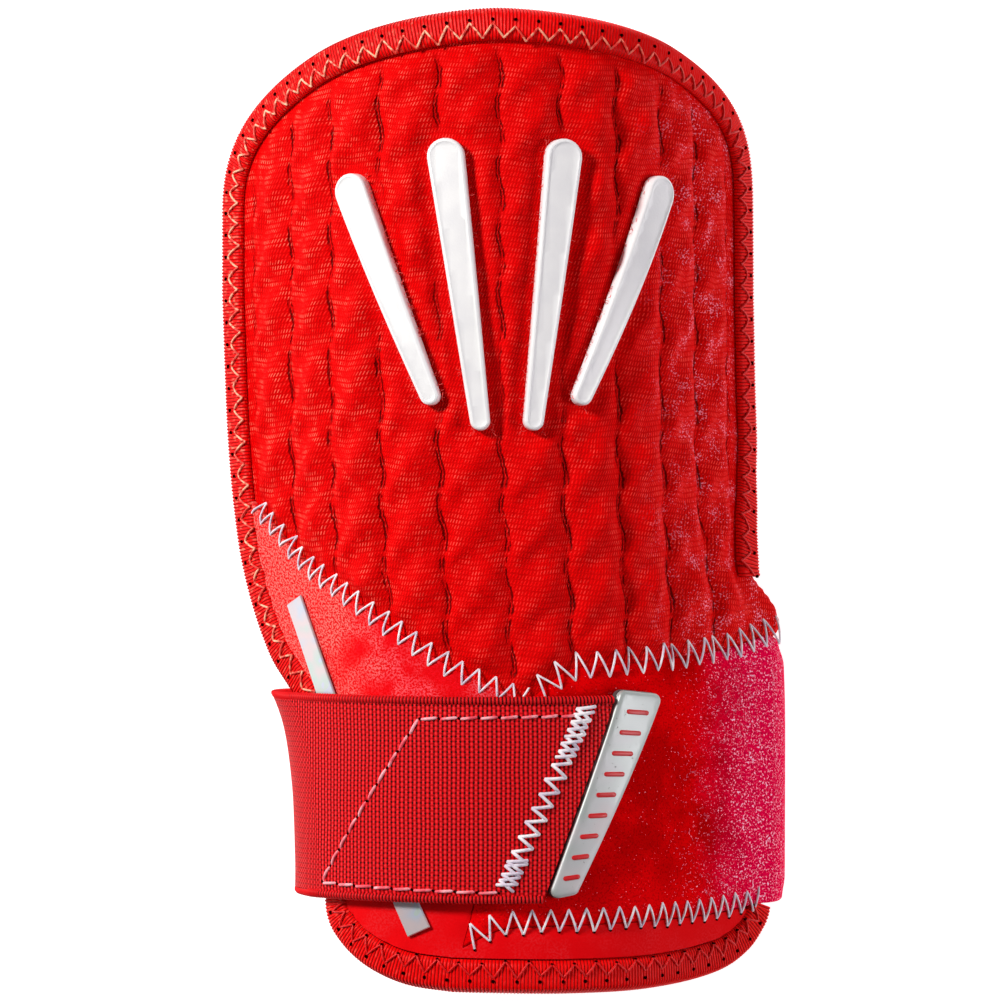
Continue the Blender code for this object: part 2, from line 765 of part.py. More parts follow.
def build():
    for old in list(bpy.data.objects):
        bpy.data.objects.remove(old)
    knit = material("red_knit", (0.60, 0.006, 0.006), 0.85)
    tape = material("red_tape", (0.55, 0.010, 0.010), 0.70)
    cloth = material("coral_cloth", (0.72, 0.045, 0.045), 0.60)
    velour = material("red_velour", (0.50, 0.010, 0.020), 0.90)
    elastic = material("red_elastic", (0.45, 0.008, 0.010), 0.75)
    white = material("white_moulding", (0.85, 0.85, 0.86), 0.35)
    silver = material("silver_moulding", (0.60, 0.64, 0.64), 0.30)
    pearl = material("pearl_film", (0.80, 0.83, 0.84), 0.25)
    pieces = [
        quilted_pad(knit),
        edge_binding(tape),
        side_panel(cloth),
        reflective_stripe(pearl),
        wrist_band(velour),
        elastic_strap(elastic),
        pull_tab(silver),
    ]
    pieces += [rib("rib_%d" % (k + 1), row, white) for k, row in enumerate(RIBS)]
    stand(pieces)


build()
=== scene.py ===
"""Looks of the batting hand protector: knit, ribbed tape, velour, elastic, threads, tab and ribs.

Each cloth piece is cut flat and then formed over the hand. Flat places are (u, v, w): u across
from the crown line, v along from the wrist end, w outwards from the pad's outer face.
"""
from math import ceil, cos, floor, pi, radians, sin, sqrt
from random import Random

import bmesh
import bpy
from mathutils import Matrix, Vector
from mathutils.kdtree import KDTree


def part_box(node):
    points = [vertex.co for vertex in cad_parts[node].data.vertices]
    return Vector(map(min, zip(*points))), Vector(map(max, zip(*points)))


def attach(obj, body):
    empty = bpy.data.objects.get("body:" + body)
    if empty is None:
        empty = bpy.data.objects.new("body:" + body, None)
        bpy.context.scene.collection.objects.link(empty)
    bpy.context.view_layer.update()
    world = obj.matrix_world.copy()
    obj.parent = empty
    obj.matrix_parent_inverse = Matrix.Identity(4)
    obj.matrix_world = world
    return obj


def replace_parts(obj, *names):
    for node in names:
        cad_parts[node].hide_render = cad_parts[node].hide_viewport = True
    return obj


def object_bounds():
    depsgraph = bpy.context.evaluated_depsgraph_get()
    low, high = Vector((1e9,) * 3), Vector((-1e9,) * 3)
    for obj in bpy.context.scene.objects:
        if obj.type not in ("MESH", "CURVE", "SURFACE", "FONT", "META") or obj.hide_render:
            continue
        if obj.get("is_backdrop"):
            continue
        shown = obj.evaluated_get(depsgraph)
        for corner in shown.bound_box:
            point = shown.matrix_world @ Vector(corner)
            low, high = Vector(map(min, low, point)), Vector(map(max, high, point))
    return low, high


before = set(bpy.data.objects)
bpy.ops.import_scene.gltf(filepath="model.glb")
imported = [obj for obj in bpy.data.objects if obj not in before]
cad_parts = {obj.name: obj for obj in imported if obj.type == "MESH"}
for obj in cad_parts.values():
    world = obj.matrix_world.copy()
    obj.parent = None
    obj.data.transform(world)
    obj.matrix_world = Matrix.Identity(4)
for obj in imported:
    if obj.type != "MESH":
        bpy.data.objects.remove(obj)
cad_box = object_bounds()

# The hand that the pad is formed over
FORM_RADIUS = 0.040
SIDE_SLOPE = radians(52)
WING_SLOPE = radians(40)
WING_TOP = 0.0928
WING_RUN = 0.030
CROWN_DROP = 0.0065
CROWN_DROP_RUN = 0.060
CROWN_SHIFT = 0.0022
CROWN_SHIFT_RUN = 0.060

# The pad
PAD_LENGTH = 0.1713
HALF_GIRTH = 0.0622
PAD_THICKNESS = 0.0075
RIM_THICKNESS = 0.0034
RIM_FLAT = 0.011
RIM_RISE = 0.013
RIM_ROUND = 0.0014
QUILT_COLUMN = 0.011
QUILT_ROW = 0.0111
QUILT_DEPTH = 0.0028
QUILT_SINK = 0.25
QUILT_FADE = 0.003
# Where the net's lines lie across one quilted column, closer together at its groove
QUILT_NET = (0.0, 0.045, 0.10, 0.18, 0.28, 0.39, 0.50, 0.61, 0.72, 0.82, 0.90, 0.955)
QUILT_ROW_NET = 8
# The two mounds in each cell of the quilting, as shares of a column (across, width) and a row (shift, tall)
MOUNDS = (
    # height, across, lean, width, shift, tall
    (0.6, 0.60, 0.30, 0.24, 0.0, 0.32),
    (0.4, 0.22, 0.0, 0.15, 0.42, 0.20),
)

# Cloth pieces laid on the pad
CLEARANCE = 0.0003
TAPE_THICKNESS = 0.0012
TAPE_ARM = 0.0046
TAPE_FACE = 0.30
TAPE_FOLD = 0.45
TAPE_AROUND = 0.009
TAPE_RIB = 0.00062
TAPE_END = 0.003
TAPE_RIB_DEPTH = 0.00018
RIBBED_NET = 4
PANEL_THICKNESS = 0.0010
PANEL_EDGE = 0.0006
PANEL_NET = 0.0015
PANEL_RIPPLE = 0.00004
STRIPE_THICKNESS = 0.0004
STRIPE_WIDTH = 0.0044
BAND_THICKNESS = 0.0015
BAND_TOP_EDGE = 0.0006
BAND_LOW_EDGE = 0.0010
BAND_EDGE_RUN = 0.004
BAND_DENTS = 14
BAND_DENT_DEPTH = 0.00022
STRAP_THICKNESS = 0.0017
STRAP_WIDTH = 0.0364
STRAP_ROLL = 0.0017
STRAP_ROLL_LIFT = 0.0003
STRAP_ROLL_RIB = 0.0006
STRAP_ROLL_RIB_DEPTH = 0.00020
STRAP_PATCH_RISE = 0.0002

# Hard pieces
TAB_THICKNESS = 0.0024
TAB_TOP_WIDTH = 0.0088
TAB_FOOT_WIDTH = 0.0052
TAB_CORNER = 0.0014
TAB_EDGE = 0.0005
TAB_ROUND = ((0.16, 0.35), (0.32, 0.30), (0.48, 0.20), (0.64, 0.15))
GRIPS = 9
GRIP_HALF = 0.00042
RIB_HEIGHT = 0.0021
RIB_HEAD_RADIUS = 0.0032
RIB_FOOT_RADIUS = 0.0017
RIB_EDGE = 0.0006
RIB_ROUND = ((0.10, 0.45), (0.20, 0.32), (0.30, 0.18), (0.40, 0.05))
RIB_DISH = 0.0002

# Threads
SEAM_THREAD = 0.00020
BINDING_THREAD = 0.00019
TACK_THREAD = 0.00031
TOPSTITCH_THREAD = 0.00027
NEEDLE_HOLE = 0.00026
TAPE_HOLE = 0.00032
LEG_STEPS = 6
BINDING_PITCH = 0.0040
BINDING_IN = 0.0043
BINDING_OUT = -0.0018
TAPE_HOLE_OUT = 0.0009
TOPSTITCH_PITCH = 0.0034
FIBRE = 0.00005

# Fabric repeats
KNIT_ACROSS = 0.00055
KNIT_ALONG = 0.00097
WEAVE_ACROSS = 0.00072
WEAVE_ALONG = 0.00090

# The pad's outline, as shares of the pad's length (along) and of its half girth (out)
LEFT_EDGE = (
    # along, out
    (0.0020, -0.177),
    (0.0080, -0.314),
    (0.0235, -0.434),
    (0.0455, -0.524),
    (0.0718, -0.577),
    (0.1214, -0.580),
    (0.1915, -0.600),
    (0.2499, -0.638),
    (0.2849, -0.690),
    (0.3083, -0.752),
    (0.3374, -0.826),
    (0.3841, -0.892),
    (0.4366, -0.937),
    (0.4892, -0.958),
    (0.5417, -0.971),
    (0.6293, -0.987),
    (0.7169, -1.000),
)
RIGHT_EDGE = (
    # along, out
    (0.0000, 0.130),
    (0.0000, 0.380),
    (0.0040, 0.580),
    (0.0130, 0.725),
    (0.0290, 0.820),
    (0.0480, 0.875),
    (0.0640, 0.905),
    (0.0740, 0.900),
    (0.0900, 0.862),
    (0.1214, 0.838),
    (0.1915, 0.836),
    (0.2616, 0.842),
    (0.3100, 0.855),
    (0.3300, 0.872),
    (0.3450, 0.905),
    (0.3520, 0.965),
    (0.3620, 0.995),
    (0.3770, 0.992),
    (0.3930, 0.968),
    (0.4080, 0.935),
    (0.4220, 0.908),
    (0.4600, 0.938),
    (0.5067, 0.990),
    (0.5592, 1.014),
    (0.6293, 1.006),
    (0.7169, 0.998),
)
ARCH_START = 0.80
ARCH_CROWN_POWER = 1.54
ARCH_LEFT_POWER = 2.55
ARCH_RIGHT_POWER = 3.55

# The tape leaves the right side open between these shares of the length
TAPE_LOW_END = 0.0665
TAPE_HIGH_END = 0.4170

# Seams across the pad, from left to right
LEFT_SEAM = (
    # along, out
    (0.5300, -1.000),
    (0.4836, -0.830),
    (0.4346, -0.659),
    (0.3950, -0.460),
    (0.3586, -0.303),
    (0.3252, -0.161),
    (0.2990, 0.000),
    (0.2950, 0.040),
)
RIGHT_SEAM = (
    # along, out
    (0.2950, 0.050),
    (0.3240, 0.160),
    (0.3280, 0.265),
    (0.3335, 0.477),
    (0.3415, 0.727),
    (0.3560, 0.920),
    (0.3600, 0.981),
)
BAND_TURN = 0.345
LOWER_SEAM = (
    # along, out
    (0.0410, -0.140),
    (0.0560, -0.060),
    (0.0615, 0.020),
    (0.0630, 0.260),
    (0.0648, 0.635),
    (0.0720, 0.860),
)
PANEL_SIDE_GAP = 0.0001

# The stripe's two ends, foot first
STRIPE = (
    # along, out
    (0.0560, -0.262),
    (0.3946, -0.698),
)

# The strap over the front, round the sides and under the wrist
STRAP_MIDDLE = 0.1926
STRAP_TUCK = 0.0010
STRAP_END_TOP_OUT = 0.274
STRAP_END_FOOT_OUT = 0.070
TAB_OVERHANG = 0.0010
BAND_SIDE_ROOM = 0.0004
JOIN_OUT = 0.35

# The ribs' two ends, as shares of the length (along) and half girth (out)
RIBS = (
    # foot along, foot out, head along, head out
    (0.606, -0.196, 0.818, -0.434),
    (0.580, -0.058, 0.852, -0.150),
    (0.580, 0.088, 0.852, 0.176),
    (0.606, 0.228, 0.818, 0.500),
)

# Rows of quilting slip by this share of a row between two shares of the length
ROW_ZERO = 0.7583
ROW_SLIP = 0.36
ROW_SLIP_START = 0.682
ROW_SLIP_END = 0.553
COLUMN_WEAVE = 0.045

# The strap's topstitch and bar tack, as shares of the strap's width (up) and half girth (out)
TOPSTITCH = (
    # up, out
    (0.905, 0.167),
    (0.890, -0.248),
    (0.080, -0.551),
    (0.055, -0.040),
)
TACK_TOP = (0.948, 0.190)
TACK_FOOT = (0.060, -0.030)
TACK_WIDTH = 0.0031
TACK_STEP = 0.0027
TACK_RUNS = (
    # start, end, step, slip
    (0.0, 1.0, TACK_STEP, 0.0),
    (0.0, 0.30, TACK_STEP, 0.45),
    (0.80, 1.0, TACK_STEP * 0.8, 0.5),
    (0.02, 0.20, TACK_STEP, 0.7),
)

# Softboxes round the guard, each as far from it
LIGHTS = (
    # name, direction, size, power, colour
    ("key_light", (-0.90, 0.58, 0.68), 0.26, 19.0, (1.0, 0.97, 0.94)),
    ("fill_light", (1.1, -0.1, 0.6), 0.5, 7.5, (1.0, 0.94, 0.98)),
    ("top_light", (0.05, -0.15, 1.0), 0.8, 0.8, (1.0, 1.0, 1.0)),
)
LIGHT_DISTANCE = 1.3
SURROUND = 0.10

# The camera: its lean to the left in degrees, its distance and its lens in millimetres
CAMERA_LEAN = 3.5
CAMERA_DISTANCE = 0.85
CAMERA_LENS = 174.2

# Colours, as linear light
RED = (0.88, 0.0006, 0.0010)
# Painted highlight colours: bright red on knit loops, peach on the side facing the key light
HIGHLIGHT_RED = (0.98, 0.060, 0.045)
PEACH_HIGHLIGHT = (0.99, 0.200, 0.130)
# Painted shade between knit loops
LOOP_SHADE_RED = (0.61, 0.0002, 0.0005)
PALE_THREAD = (0.92, 0.88, 0.92)
# Painted peach highlight on the tape's zigzag thread
LIT_THREAD_PEACH = (0.95, 0.50, 0.32)
# Painted shade in gaps, pinholes and between pile tufts
SHADE_BLACK = (0.012, 0.002, 0.002)
# Painted shade in the quilting's creases
CREASE_SHADE = (0.060, 0.0, 0.0)
FLUFF_PINK = (0.95, 0.28, 0.40)
# Painted pink glints on the velour's pile
PILE_GLINT_PINK = (1.0, 0.62, 0.84)
WHITE = (1.0, 1.0, 1.0)


def ease(share):
    """Smooth step from 0 to 1."""
    share = min(max(share, 0.0), 1.0)
    return share * share * (3 - 2 * share)


def bell(square):
    """A soft mound: 1 in the middle, less as the squared distance grows."""
    return 2.718 ** -square


def slope_at(u, v):
    """Slope of the straight side below the crown's round."""
    if u < 0:
        return SIDE_SLOPE
    return SIDE_SLOPE + (WING_SLOPE - SIDE_SLOPE) * ease((WING_TOP - v) / WING_RUN)


def crown_at(v):
    """Sideways place and height of the crown line."""
    drop_start = PAD_LENGTH - CROWN_DROP_RUN
    dip = max(v - drop_start, 0.0) / CROWN_DROP_RUN
    side = CROWN_SHIFT * ease((0.6 * PAD_LENGTH - v) / CROWN_SHIFT_RUN)
    return side, -CROWN_DROP * dip * dip


def form(u, v, w):
    """A flat place, formed over the hand: a round crown between two straight sides."""
    side = -1 if u < 0 else 1
    slope = slope_at(u, v)
    turned = min(abs(u) / FORM_RADIUS, slope)
    straight = max(abs(u) - FORM_RADIUS * slope, 0.0)
    x0, z0 = crown_at(v)
    x = x0 + side * ((FORM_RADIUS + w) * sin(turned) + straight * cos(slope))
    z = z0 + (FORM_RADIUS + w) * cos(turned) - FORM_RADIUS - straight * sin(slope)
    return Vector((x, v - PAD_LENGTH / 2, z))


def flat(along, out):
    """A flat place from shares of the pad's length and half girth."""
    return Vector((out * HALF_GIRTH, along * PAD_LENGTH))


def smooth_through(rows, steps=6):
    """Points on a smooth curve through a table's rows."""
    points = [flat(*row) for row in rows]
    ends = [2 * points[0] - points[1]] + points + [2 * points[-1] - points[-2]]
    curve = []
    for before, start, end, after in zip(ends, ends[1:], ends[2:], ends[3:]):
        for step in range(steps):
            t = step / steps
            curve.append(0.5 * (2 * start + (end - before) * t
                                + (2 * before - 5 * start + 4 * end - after) * t * t
                                + (3 * start - before - 3 * end + after) * t ** 3))
    return curve + [points[-1]]


def seam_height(curve, u):
    """The v of a seam at a given u."""
    if u <= curve[0].x:
        return curve[0].y
    for start, end in zip(curve, curve[1:]):
        if start.x <= u <= end.x:
            return start.y + (end.y - start.y) * (u - start.x) / max(end.x - start.x, 1e-9)
    return curve[-1].y


def knuckle_arch():
    """The rounded knuckle end, from the right side over to the left."""
    start = ARCH_START * PAD_LENGTH
    rise = PAD_LENGTH - start
    points = []
    for step in range(1, 120):
        angle = pi * step / 120
        side, power = (1, ARCH_RIGHT_POWER) if angle < pi / 2 else (-1, ARCH_LEFT_POWER)
        u = side * HALF_GIRTH * abs(cos(angle)) ** (2 / ARCH_CROWN_POWER)
        v = start + rise * sin(angle) ** (2 / power)
        points.append(Vector((u, v)))
    return points


def evenly(line, step):
    """The same line with points about one step apart."""
    lengths = [0.0]
    for start, end in zip(line, line[1:]):
        lengths.append(lengths[-1] + (end - start).length)
    count = max(ceil(lengths[-1] / step), 2)
    result = []
    index = 0
    for k in range(count + 1):
        place = lengths[-1] * k / count
        while index < len(lengths) - 2 and lengths[index + 1] < place:
            index += 1
        share = (place - lengths[index]) / max(lengths[index + 1] - lengths[index], 1e-12)
        result.append(line[index].lerp(line[index + 1], share))
    return result


def length_of(line):
    return sum((end - start).length for start, end in zip(line, line[1:]))


def pad_outline(step):
    """The pad's edge: open side first, then over the knuckles and back along the wrist end."""
    right = smooth_through(RIGHT_EDGE)
    left = smooth_through(LEFT_EDGE)
    loop = right + knuckle_arch() + left[::-1]
    start, end = [next(k for k, point in enumerate(right) if point.y > share * PAD_LENGTH)
                  for share in (TAPE_LOW_END, TAPE_HIGH_END)]
    return evenly(loop[start:end + 1], step), evenly(loop[end:] + loop[:start + 1], step)


def outward(points, k, closed=False):
    """Unit vector out of a line that runs counterclockwise."""
    count = len(points)
    before = points[(k - 1) % count] if closed else points[max(k - 1, 0)]
    after = points[(k + 1) % count] if closed else points[min(k + 1, count - 1)]
    along = (after - before).normalized()
    return Vector((along.y, -along.x))


OPEN_SIDE, TAPED = pad_outline(0.0011)
OUTLINE = OPEN_SIDE[:-1] + TAPED[:-1]
LEFT_SEAM_LINE = smooth_through(LEFT_SEAM)
RIGHT_SEAM_LINE = smooth_through(RIGHT_SEAM)
LOWER_SEAM_LINE = smooth_through(LOWER_SEAM)
UPPER_SEAM_LINE = LEFT_SEAM_LINE + RIGHT_SEAM_LINE

PANEL_TOP = CLEARANCE + PANEL_THICKNESS
STRIPE_BASE = PANEL_TOP + CLEARANCE
STRIPE_TOP = STRIPE_BASE + STRIPE_THICKNESS
STRAP_BASE = STRIPE_TOP + CLEARANCE
STRAP_TOP = STRAP_BASE + STRAP_THICKNESS
BAND_TOP = CLEARANCE + BAND_THICKNESS
TAPE_TOP = CLEARANCE + TAPE_THICKNESS
STRAP_FOOT = STRAP_MIDDLE * PAD_LENGTH - STRAP_WIDTH / 2

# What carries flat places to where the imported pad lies
PAD_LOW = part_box("quilted_pad")[0]
SHIFT = PAD_LOW - Vector((
    min(form(*point, 0.0).x for point in OUTLINE),
    min(form(*point, 0.0).y for point in OUTLINE),
    min(form(*point, -RIM_THICKNESS).z for point in OUTLINE),
))


def near_line(line, closed=False):
    """A function that gives the distance from a flat place to a line."""
    points = evenly(line + line[:1] if closed else line, 0.0004)
    tree = KDTree(len(points))
    for k, point in enumerate(points):
        tree.insert((*point, 0.0), k)
    tree.balance()
    return lambda u, v: tree.find((u, v, 0.0))[2]


edge_distance = near_line(OUTLINE, True)


def rib_ends(row):
    foot_along, foot_out, head_along, head_out = row
    return flat(foot_along, foot_out), flat(head_along, head_out)


def rib_distance(u, v):
    """Distance from a flat place to the nearest rib's side."""
    here = Vector((u, v))
    best = 1.0
    for row in RIBS:
        foot, head = rib_ends(row)
        side = head - foot
        share = min(max((here - foot).dot(side) / side.length_squared, 0.0), 1.0)
        radius = RIB_FOOT_RADIUS + (RIB_HEAD_RADIUS - RIB_FOOT_RADIUS) * share
        best = min(best, (foot + side * share - here).length - radius)
    return best


def quilting(u, v):
    """Height of the quilting from 0 in a groove to about 1: slanted pillows in columns."""
    slipped = (ROW_SLIP_START - v / PAD_LENGTH) / (ROW_SLIP_START - ROW_SLIP_END)
    row = (v - ROW_ZERO * PAD_LENGTH) / QUILT_ROW + ROW_SLIP * ease(slipped)
    column = u / QUILT_COLUMN + COLUMN_WEAVE * sin(2 * pi * row)
    a = column - floor(column)
    b = row - floor(row + 0.5)
    gap = 0.5 - 0.5 * cos(2 * pi * b)
    height = 0.5 * (1 - (1 - 0.45 * gap) * abs(2 * a - 1) ** 5)
    for mound, across, lean, width, shift, tall in MOUNDS:
        c = b + shift - floor(b + shift + 0.5)
        height += mound * bell(((a - across - lean * c) / width) ** 2 + (c / tall) ** 2)
    return height


def quilt_share(u, v):
    """How much of the quilting shows: none under tape, side cloth and ribs, all away from them."""
    seam = seam_height(UPPER_SEAM_LINE, u)
    room = min(v - seam, edge_distance(u, v) - TAPE_ARM, rib_distance(u, v))
    return ease((room - QUILT_FADE * 0.3) / QUILT_FADE)


def quilt_height(u, v):
    return QUILT_DEPTH * (quilting(u, v) - QUILT_SINK) * quilt_share(u, v)


def rounded(distance, radius):
    """How far a rounded edge falls below its face, at a distance in from the edge."""
    if distance >= radius:
        return 0.0
    return radius - sqrt(max(radius * radius - (radius - max(distance, 0.0)) ** 2, 0.0))


def pad_face(u, v):
    return quilt_height(u, v) - rounded(edge_distance(u, v), RIM_ROUND)


def pad_back(u, v):
    """The pad's back: thin in the rim's tape, full over the back of the hand."""
    distance = edge_distance(u, v)
    rise = ease((distance - RIM_FLAT) / RIM_RISE)
    return -RIM_THICKNESS - (PAD_THICKNESS - RIM_THICKNESS) * rise + rounded(distance, RIM_ROUND)


def edge_at(line, v):
    """How far out a line lies at a given v."""
    for start, end in zip(line, line[1:]):
        if min(start.y, end.y) <= v <= max(start.y, end.y):
            share = (v - start.y) / (end.y - start.y) if end.y != start.y else 0.0
            return abs(start.x + (end.x - start.x) * share)
    return abs(min(line, key=lambda point: abs(point.y - v)).x)


LEFT_TAPED = [point for point in TAPED if point.x < 0]


def left_turn(v):
    """How far out on the left the strap leaves the pad and turns under the wrist."""
    return edge_at(LEFT_TAPED, v) - STRAP_TUCK


def right_turn(v):
    """How far out on the right the wrist band leaves the pad and turns under the wrist."""
    return edge_at(OPEN_SIDE, v) + BAND_SIDE_ROOM


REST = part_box("edge_binding")[0].z - SHIFT.z


def turned_under(side, turn, v, outer, share, w):
    """A place on the round bend from the pad's side to the flat run under the wrist."""
    slope = min(slope_at(side * turn, v), turn / FORM_RADIUS)
    start = form(side * turn, v, 0.0)
    radius = (start.z - REST - outer) / (1 + cos(slope))
    angle = slope + share * (pi - slope)
    centre = start - radius * Vector((side * sin(slope), 0, cos(slope)))
    return centre + (radius + w) * Vector((side * sin(angle), 0, cos(angle)))


def under_wrist(side, turn, v, outer, share, w, join_x):
    """A place on the flat run under the wrist, up to the join."""
    start = turned_under(side, turn, v, outer, 1.0, w)
    return Vector((start.x + (join_x - start.x) * share, start.y, start.z))


def strap_end(v):
    """The slanted end of the strap, where the tab begins."""
    share = (v - STRAP_FOOT) / STRAP_WIDTH
    return (STRAP_END_FOOT_OUT + (STRAP_END_TOP_OUT - STRAP_END_FOOT_OUT) * share) * HALF_GIRTH


def on_strap(up, out):
    """A flat place from a share of the strap's width and a share of the half girth."""
    return Vector((out * HALF_GIRTH, STRAP_FOOT + up * STRAP_WIDTH))


def lines(low, high, step, through=0.0):
    """Evenly spaced values that cover a range, one of them at a given value."""
    first = floor((low - through) / step)
    last = ceil((high - through) / step)
    return [through + step * k for k in range(first, last + 1)]


def grid(bm, us, vs, height):
    """A rectangular net over the given lines."""
    cells = {"x_segments": len(us) - 1, "y_segments": len(vs) - 1}
    net = bmesh.ops.create_grid(bm, size=1.0, **cells)["verts"]
    for vert in net:
        u = us[round((vert.co.x + 1) / 2 * (len(us) - 1))]
        v = vs[round((vert.co.y + 1) / 2 * (len(vs) - 1))]
        vert.co = (u, v, height(u, v))
    return net


def rim_edges(verts):
    edges = {edge for vert in verts for edge in vert.link_edges}
    return [edge for edge in edges if edge.is_boundary]


def polygon(bm, points, w=0.0):
    return bm.faces.new([bm.verts.new((point.x, point.y, w)) for point in points])


def raised(bm, faces, rise):
    """The faces pulled up into a closed block."""
    new = bmesh.ops.extrude_face_region(bm, geom=list(faces))["geom"]
    verts = [item for item in new if isinstance(item, bmesh.types.BMVert)]
    bmesh.ops.translate(bm, verts=verts, vec=(0, 0, rise))
    return [item for item in new if isinstance(item, bmesh.types.BMFace)]


def rounded_cap(bm, cap, edge, steps):
    """A rounded edge round a raised face, from steps of inset and rise as shares of its size."""
    for inset, rise in steps:
        bmesh.ops.inset_region(bm, faces=cap, thickness=edge * inset, depth=edge * rise)


def cut_up(bm, step):
    """Extra edges across and along, so that a flat piece can be formed round the hand."""
    for axis in (Vector((1, 0, 0)), Vector((0, 1, 0))):
        places = [vert.co.dot(axis) for vert in bm.verts]
        for place in lines(min(places), max(places), step):
            geometry = list(bm.verts) + list(bm.edges) + list(bm.faces)
            bmesh.ops.bisect_plane(bm, geom=geometry, dist=1e-6, plane_co=axis * place, plane_no=axis)


def linked(name, mesh, finish):
    """A piece of the guard that lies still with it."""
    piece = bpy.data.objects.new(name, mesh)
    bpy.context.scene.collection.objects.link(piece)
    mesh.materials.append(finish.material)
    mesh.shade_smooth()
    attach(piece, "root")
    return piece


def made(name, bm, finish, place=form, plan=None, sharp=None, weight=None):
    """A piece from a flat one: flat places kept as its UV map, then carried onto the hand."""
    uv = bm.loops.layers.uv.new("plan")
    for face in bm.faces:
        for loop in face.loops:
            loop[uv].uv = plan(*loop.vert.co) if plan else loop.vert.co.xy
    if weight:
        layer = bm.verts.layers.float.new("quilt")
        for vert in bm.verts:
            vert[layer] = weight(*vert.co)
    for vert in bm.verts:
        vert.co = place(*vert.co) + SHIFT
    bmesh.ops.remove_doubles(bm, verts=bm.verts, dist=2e-6)
    open_edges = [edge for edge in bm.edges if edge.is_boundary]
    bmesh.ops.holes_fill(bm, edges=open_edges)
    bmesh.ops.recalc_face_normals(bm, faces=bm.faces)
    mesh = bpy.data.meshes.new(name)
    bm.to_mesh(mesh)
    bm.free()
    piece = linked(name, mesh, finish)
    if sharp:
        mesh.set_sharp_from_angle(angle=radians(sharp))
    return piece


def finer(piece, levels=1):
    """Live subdivision on a piece."""
    smooth = piece.modifiers.new("finer", "SUBSURF")
    smooth.levels = smooth.render_levels = levels
    return piece


def kept_inside(bm, outline, depth):
    """The part of a flat block that lies inside an upright prism over an outline."""
    prism = bmesh.new()
    raised(prism, [polygon(prism, outline, -depth)], 2 * depth)
    bmesh.ops.recalc_face_normals(prism, faces=prism.faces)
    pieces = []
    for name, shape in (("block", bm), ("cutter", prism)):
        mesh = bpy.data.meshes.new(name)
        shape.to_mesh(mesh)
        shape.free()
        piece = bpy.data.objects.new(name, mesh)
        bpy.context.scene.collection.objects.link(piece)
        pieces.append(piece)
    block, cutter = pieces
    trim = block.modifiers.new("trim", "BOOLEAN")
    trim.operation = "INTERSECT"
    trim.solver = "EXACT"
    trim.object = cutter
    result = bmesh.new()
    result.from_object(block, bpy.context.evaluated_depsgraph_get())
    for piece in pieces:
        mesh = piece.data
        bpy.data.objects.remove(piece)
        bpy.data.meshes.remove(mesh)
    return result


def slab(outline, across, along, top, bottom):
    """A thin block cut to a flat outline, its two faces at given heights."""
    bm = bmesh.new()
    upper = rim_edges(grid(bm, across, along, top))
    lower = rim_edges(grid(bm, across, along, bottom))
    bmesh.ops.bridge_loops(bm, edges=upper + lower)
    bmesh.ops.recalc_face_normals(bm, faces=bm.faces)
    return kept_inside(bm, outline, 2 * PAD_THICKNESS)


class Shade:
    """A number or colour at each point of a surface; sums and products add their nodes."""

    def __init__(self, finish, socket):
        self.finish = finish
        self.socket = socket

    def __add__(self, other):
        return self.finish.maths("ADD", self, other)

    def __sub__(self, other):
        return self.finish.maths("SUBTRACT", self, other)

    def __rsub__(self, other):
        return self.finish.maths("SUBTRACT", other, self)

    def __mul__(self, other):
        return self.finish.maths("MULTIPLY", self, other)

    def __truediv__(self, other):
        return self.finish.maths("DIVIDE", self, other)

    def __neg__(self):
        return self.finish.maths("MULTIPLY", self, -1.0)

    __radd__ = __add__
    __rmul__ = __mul__


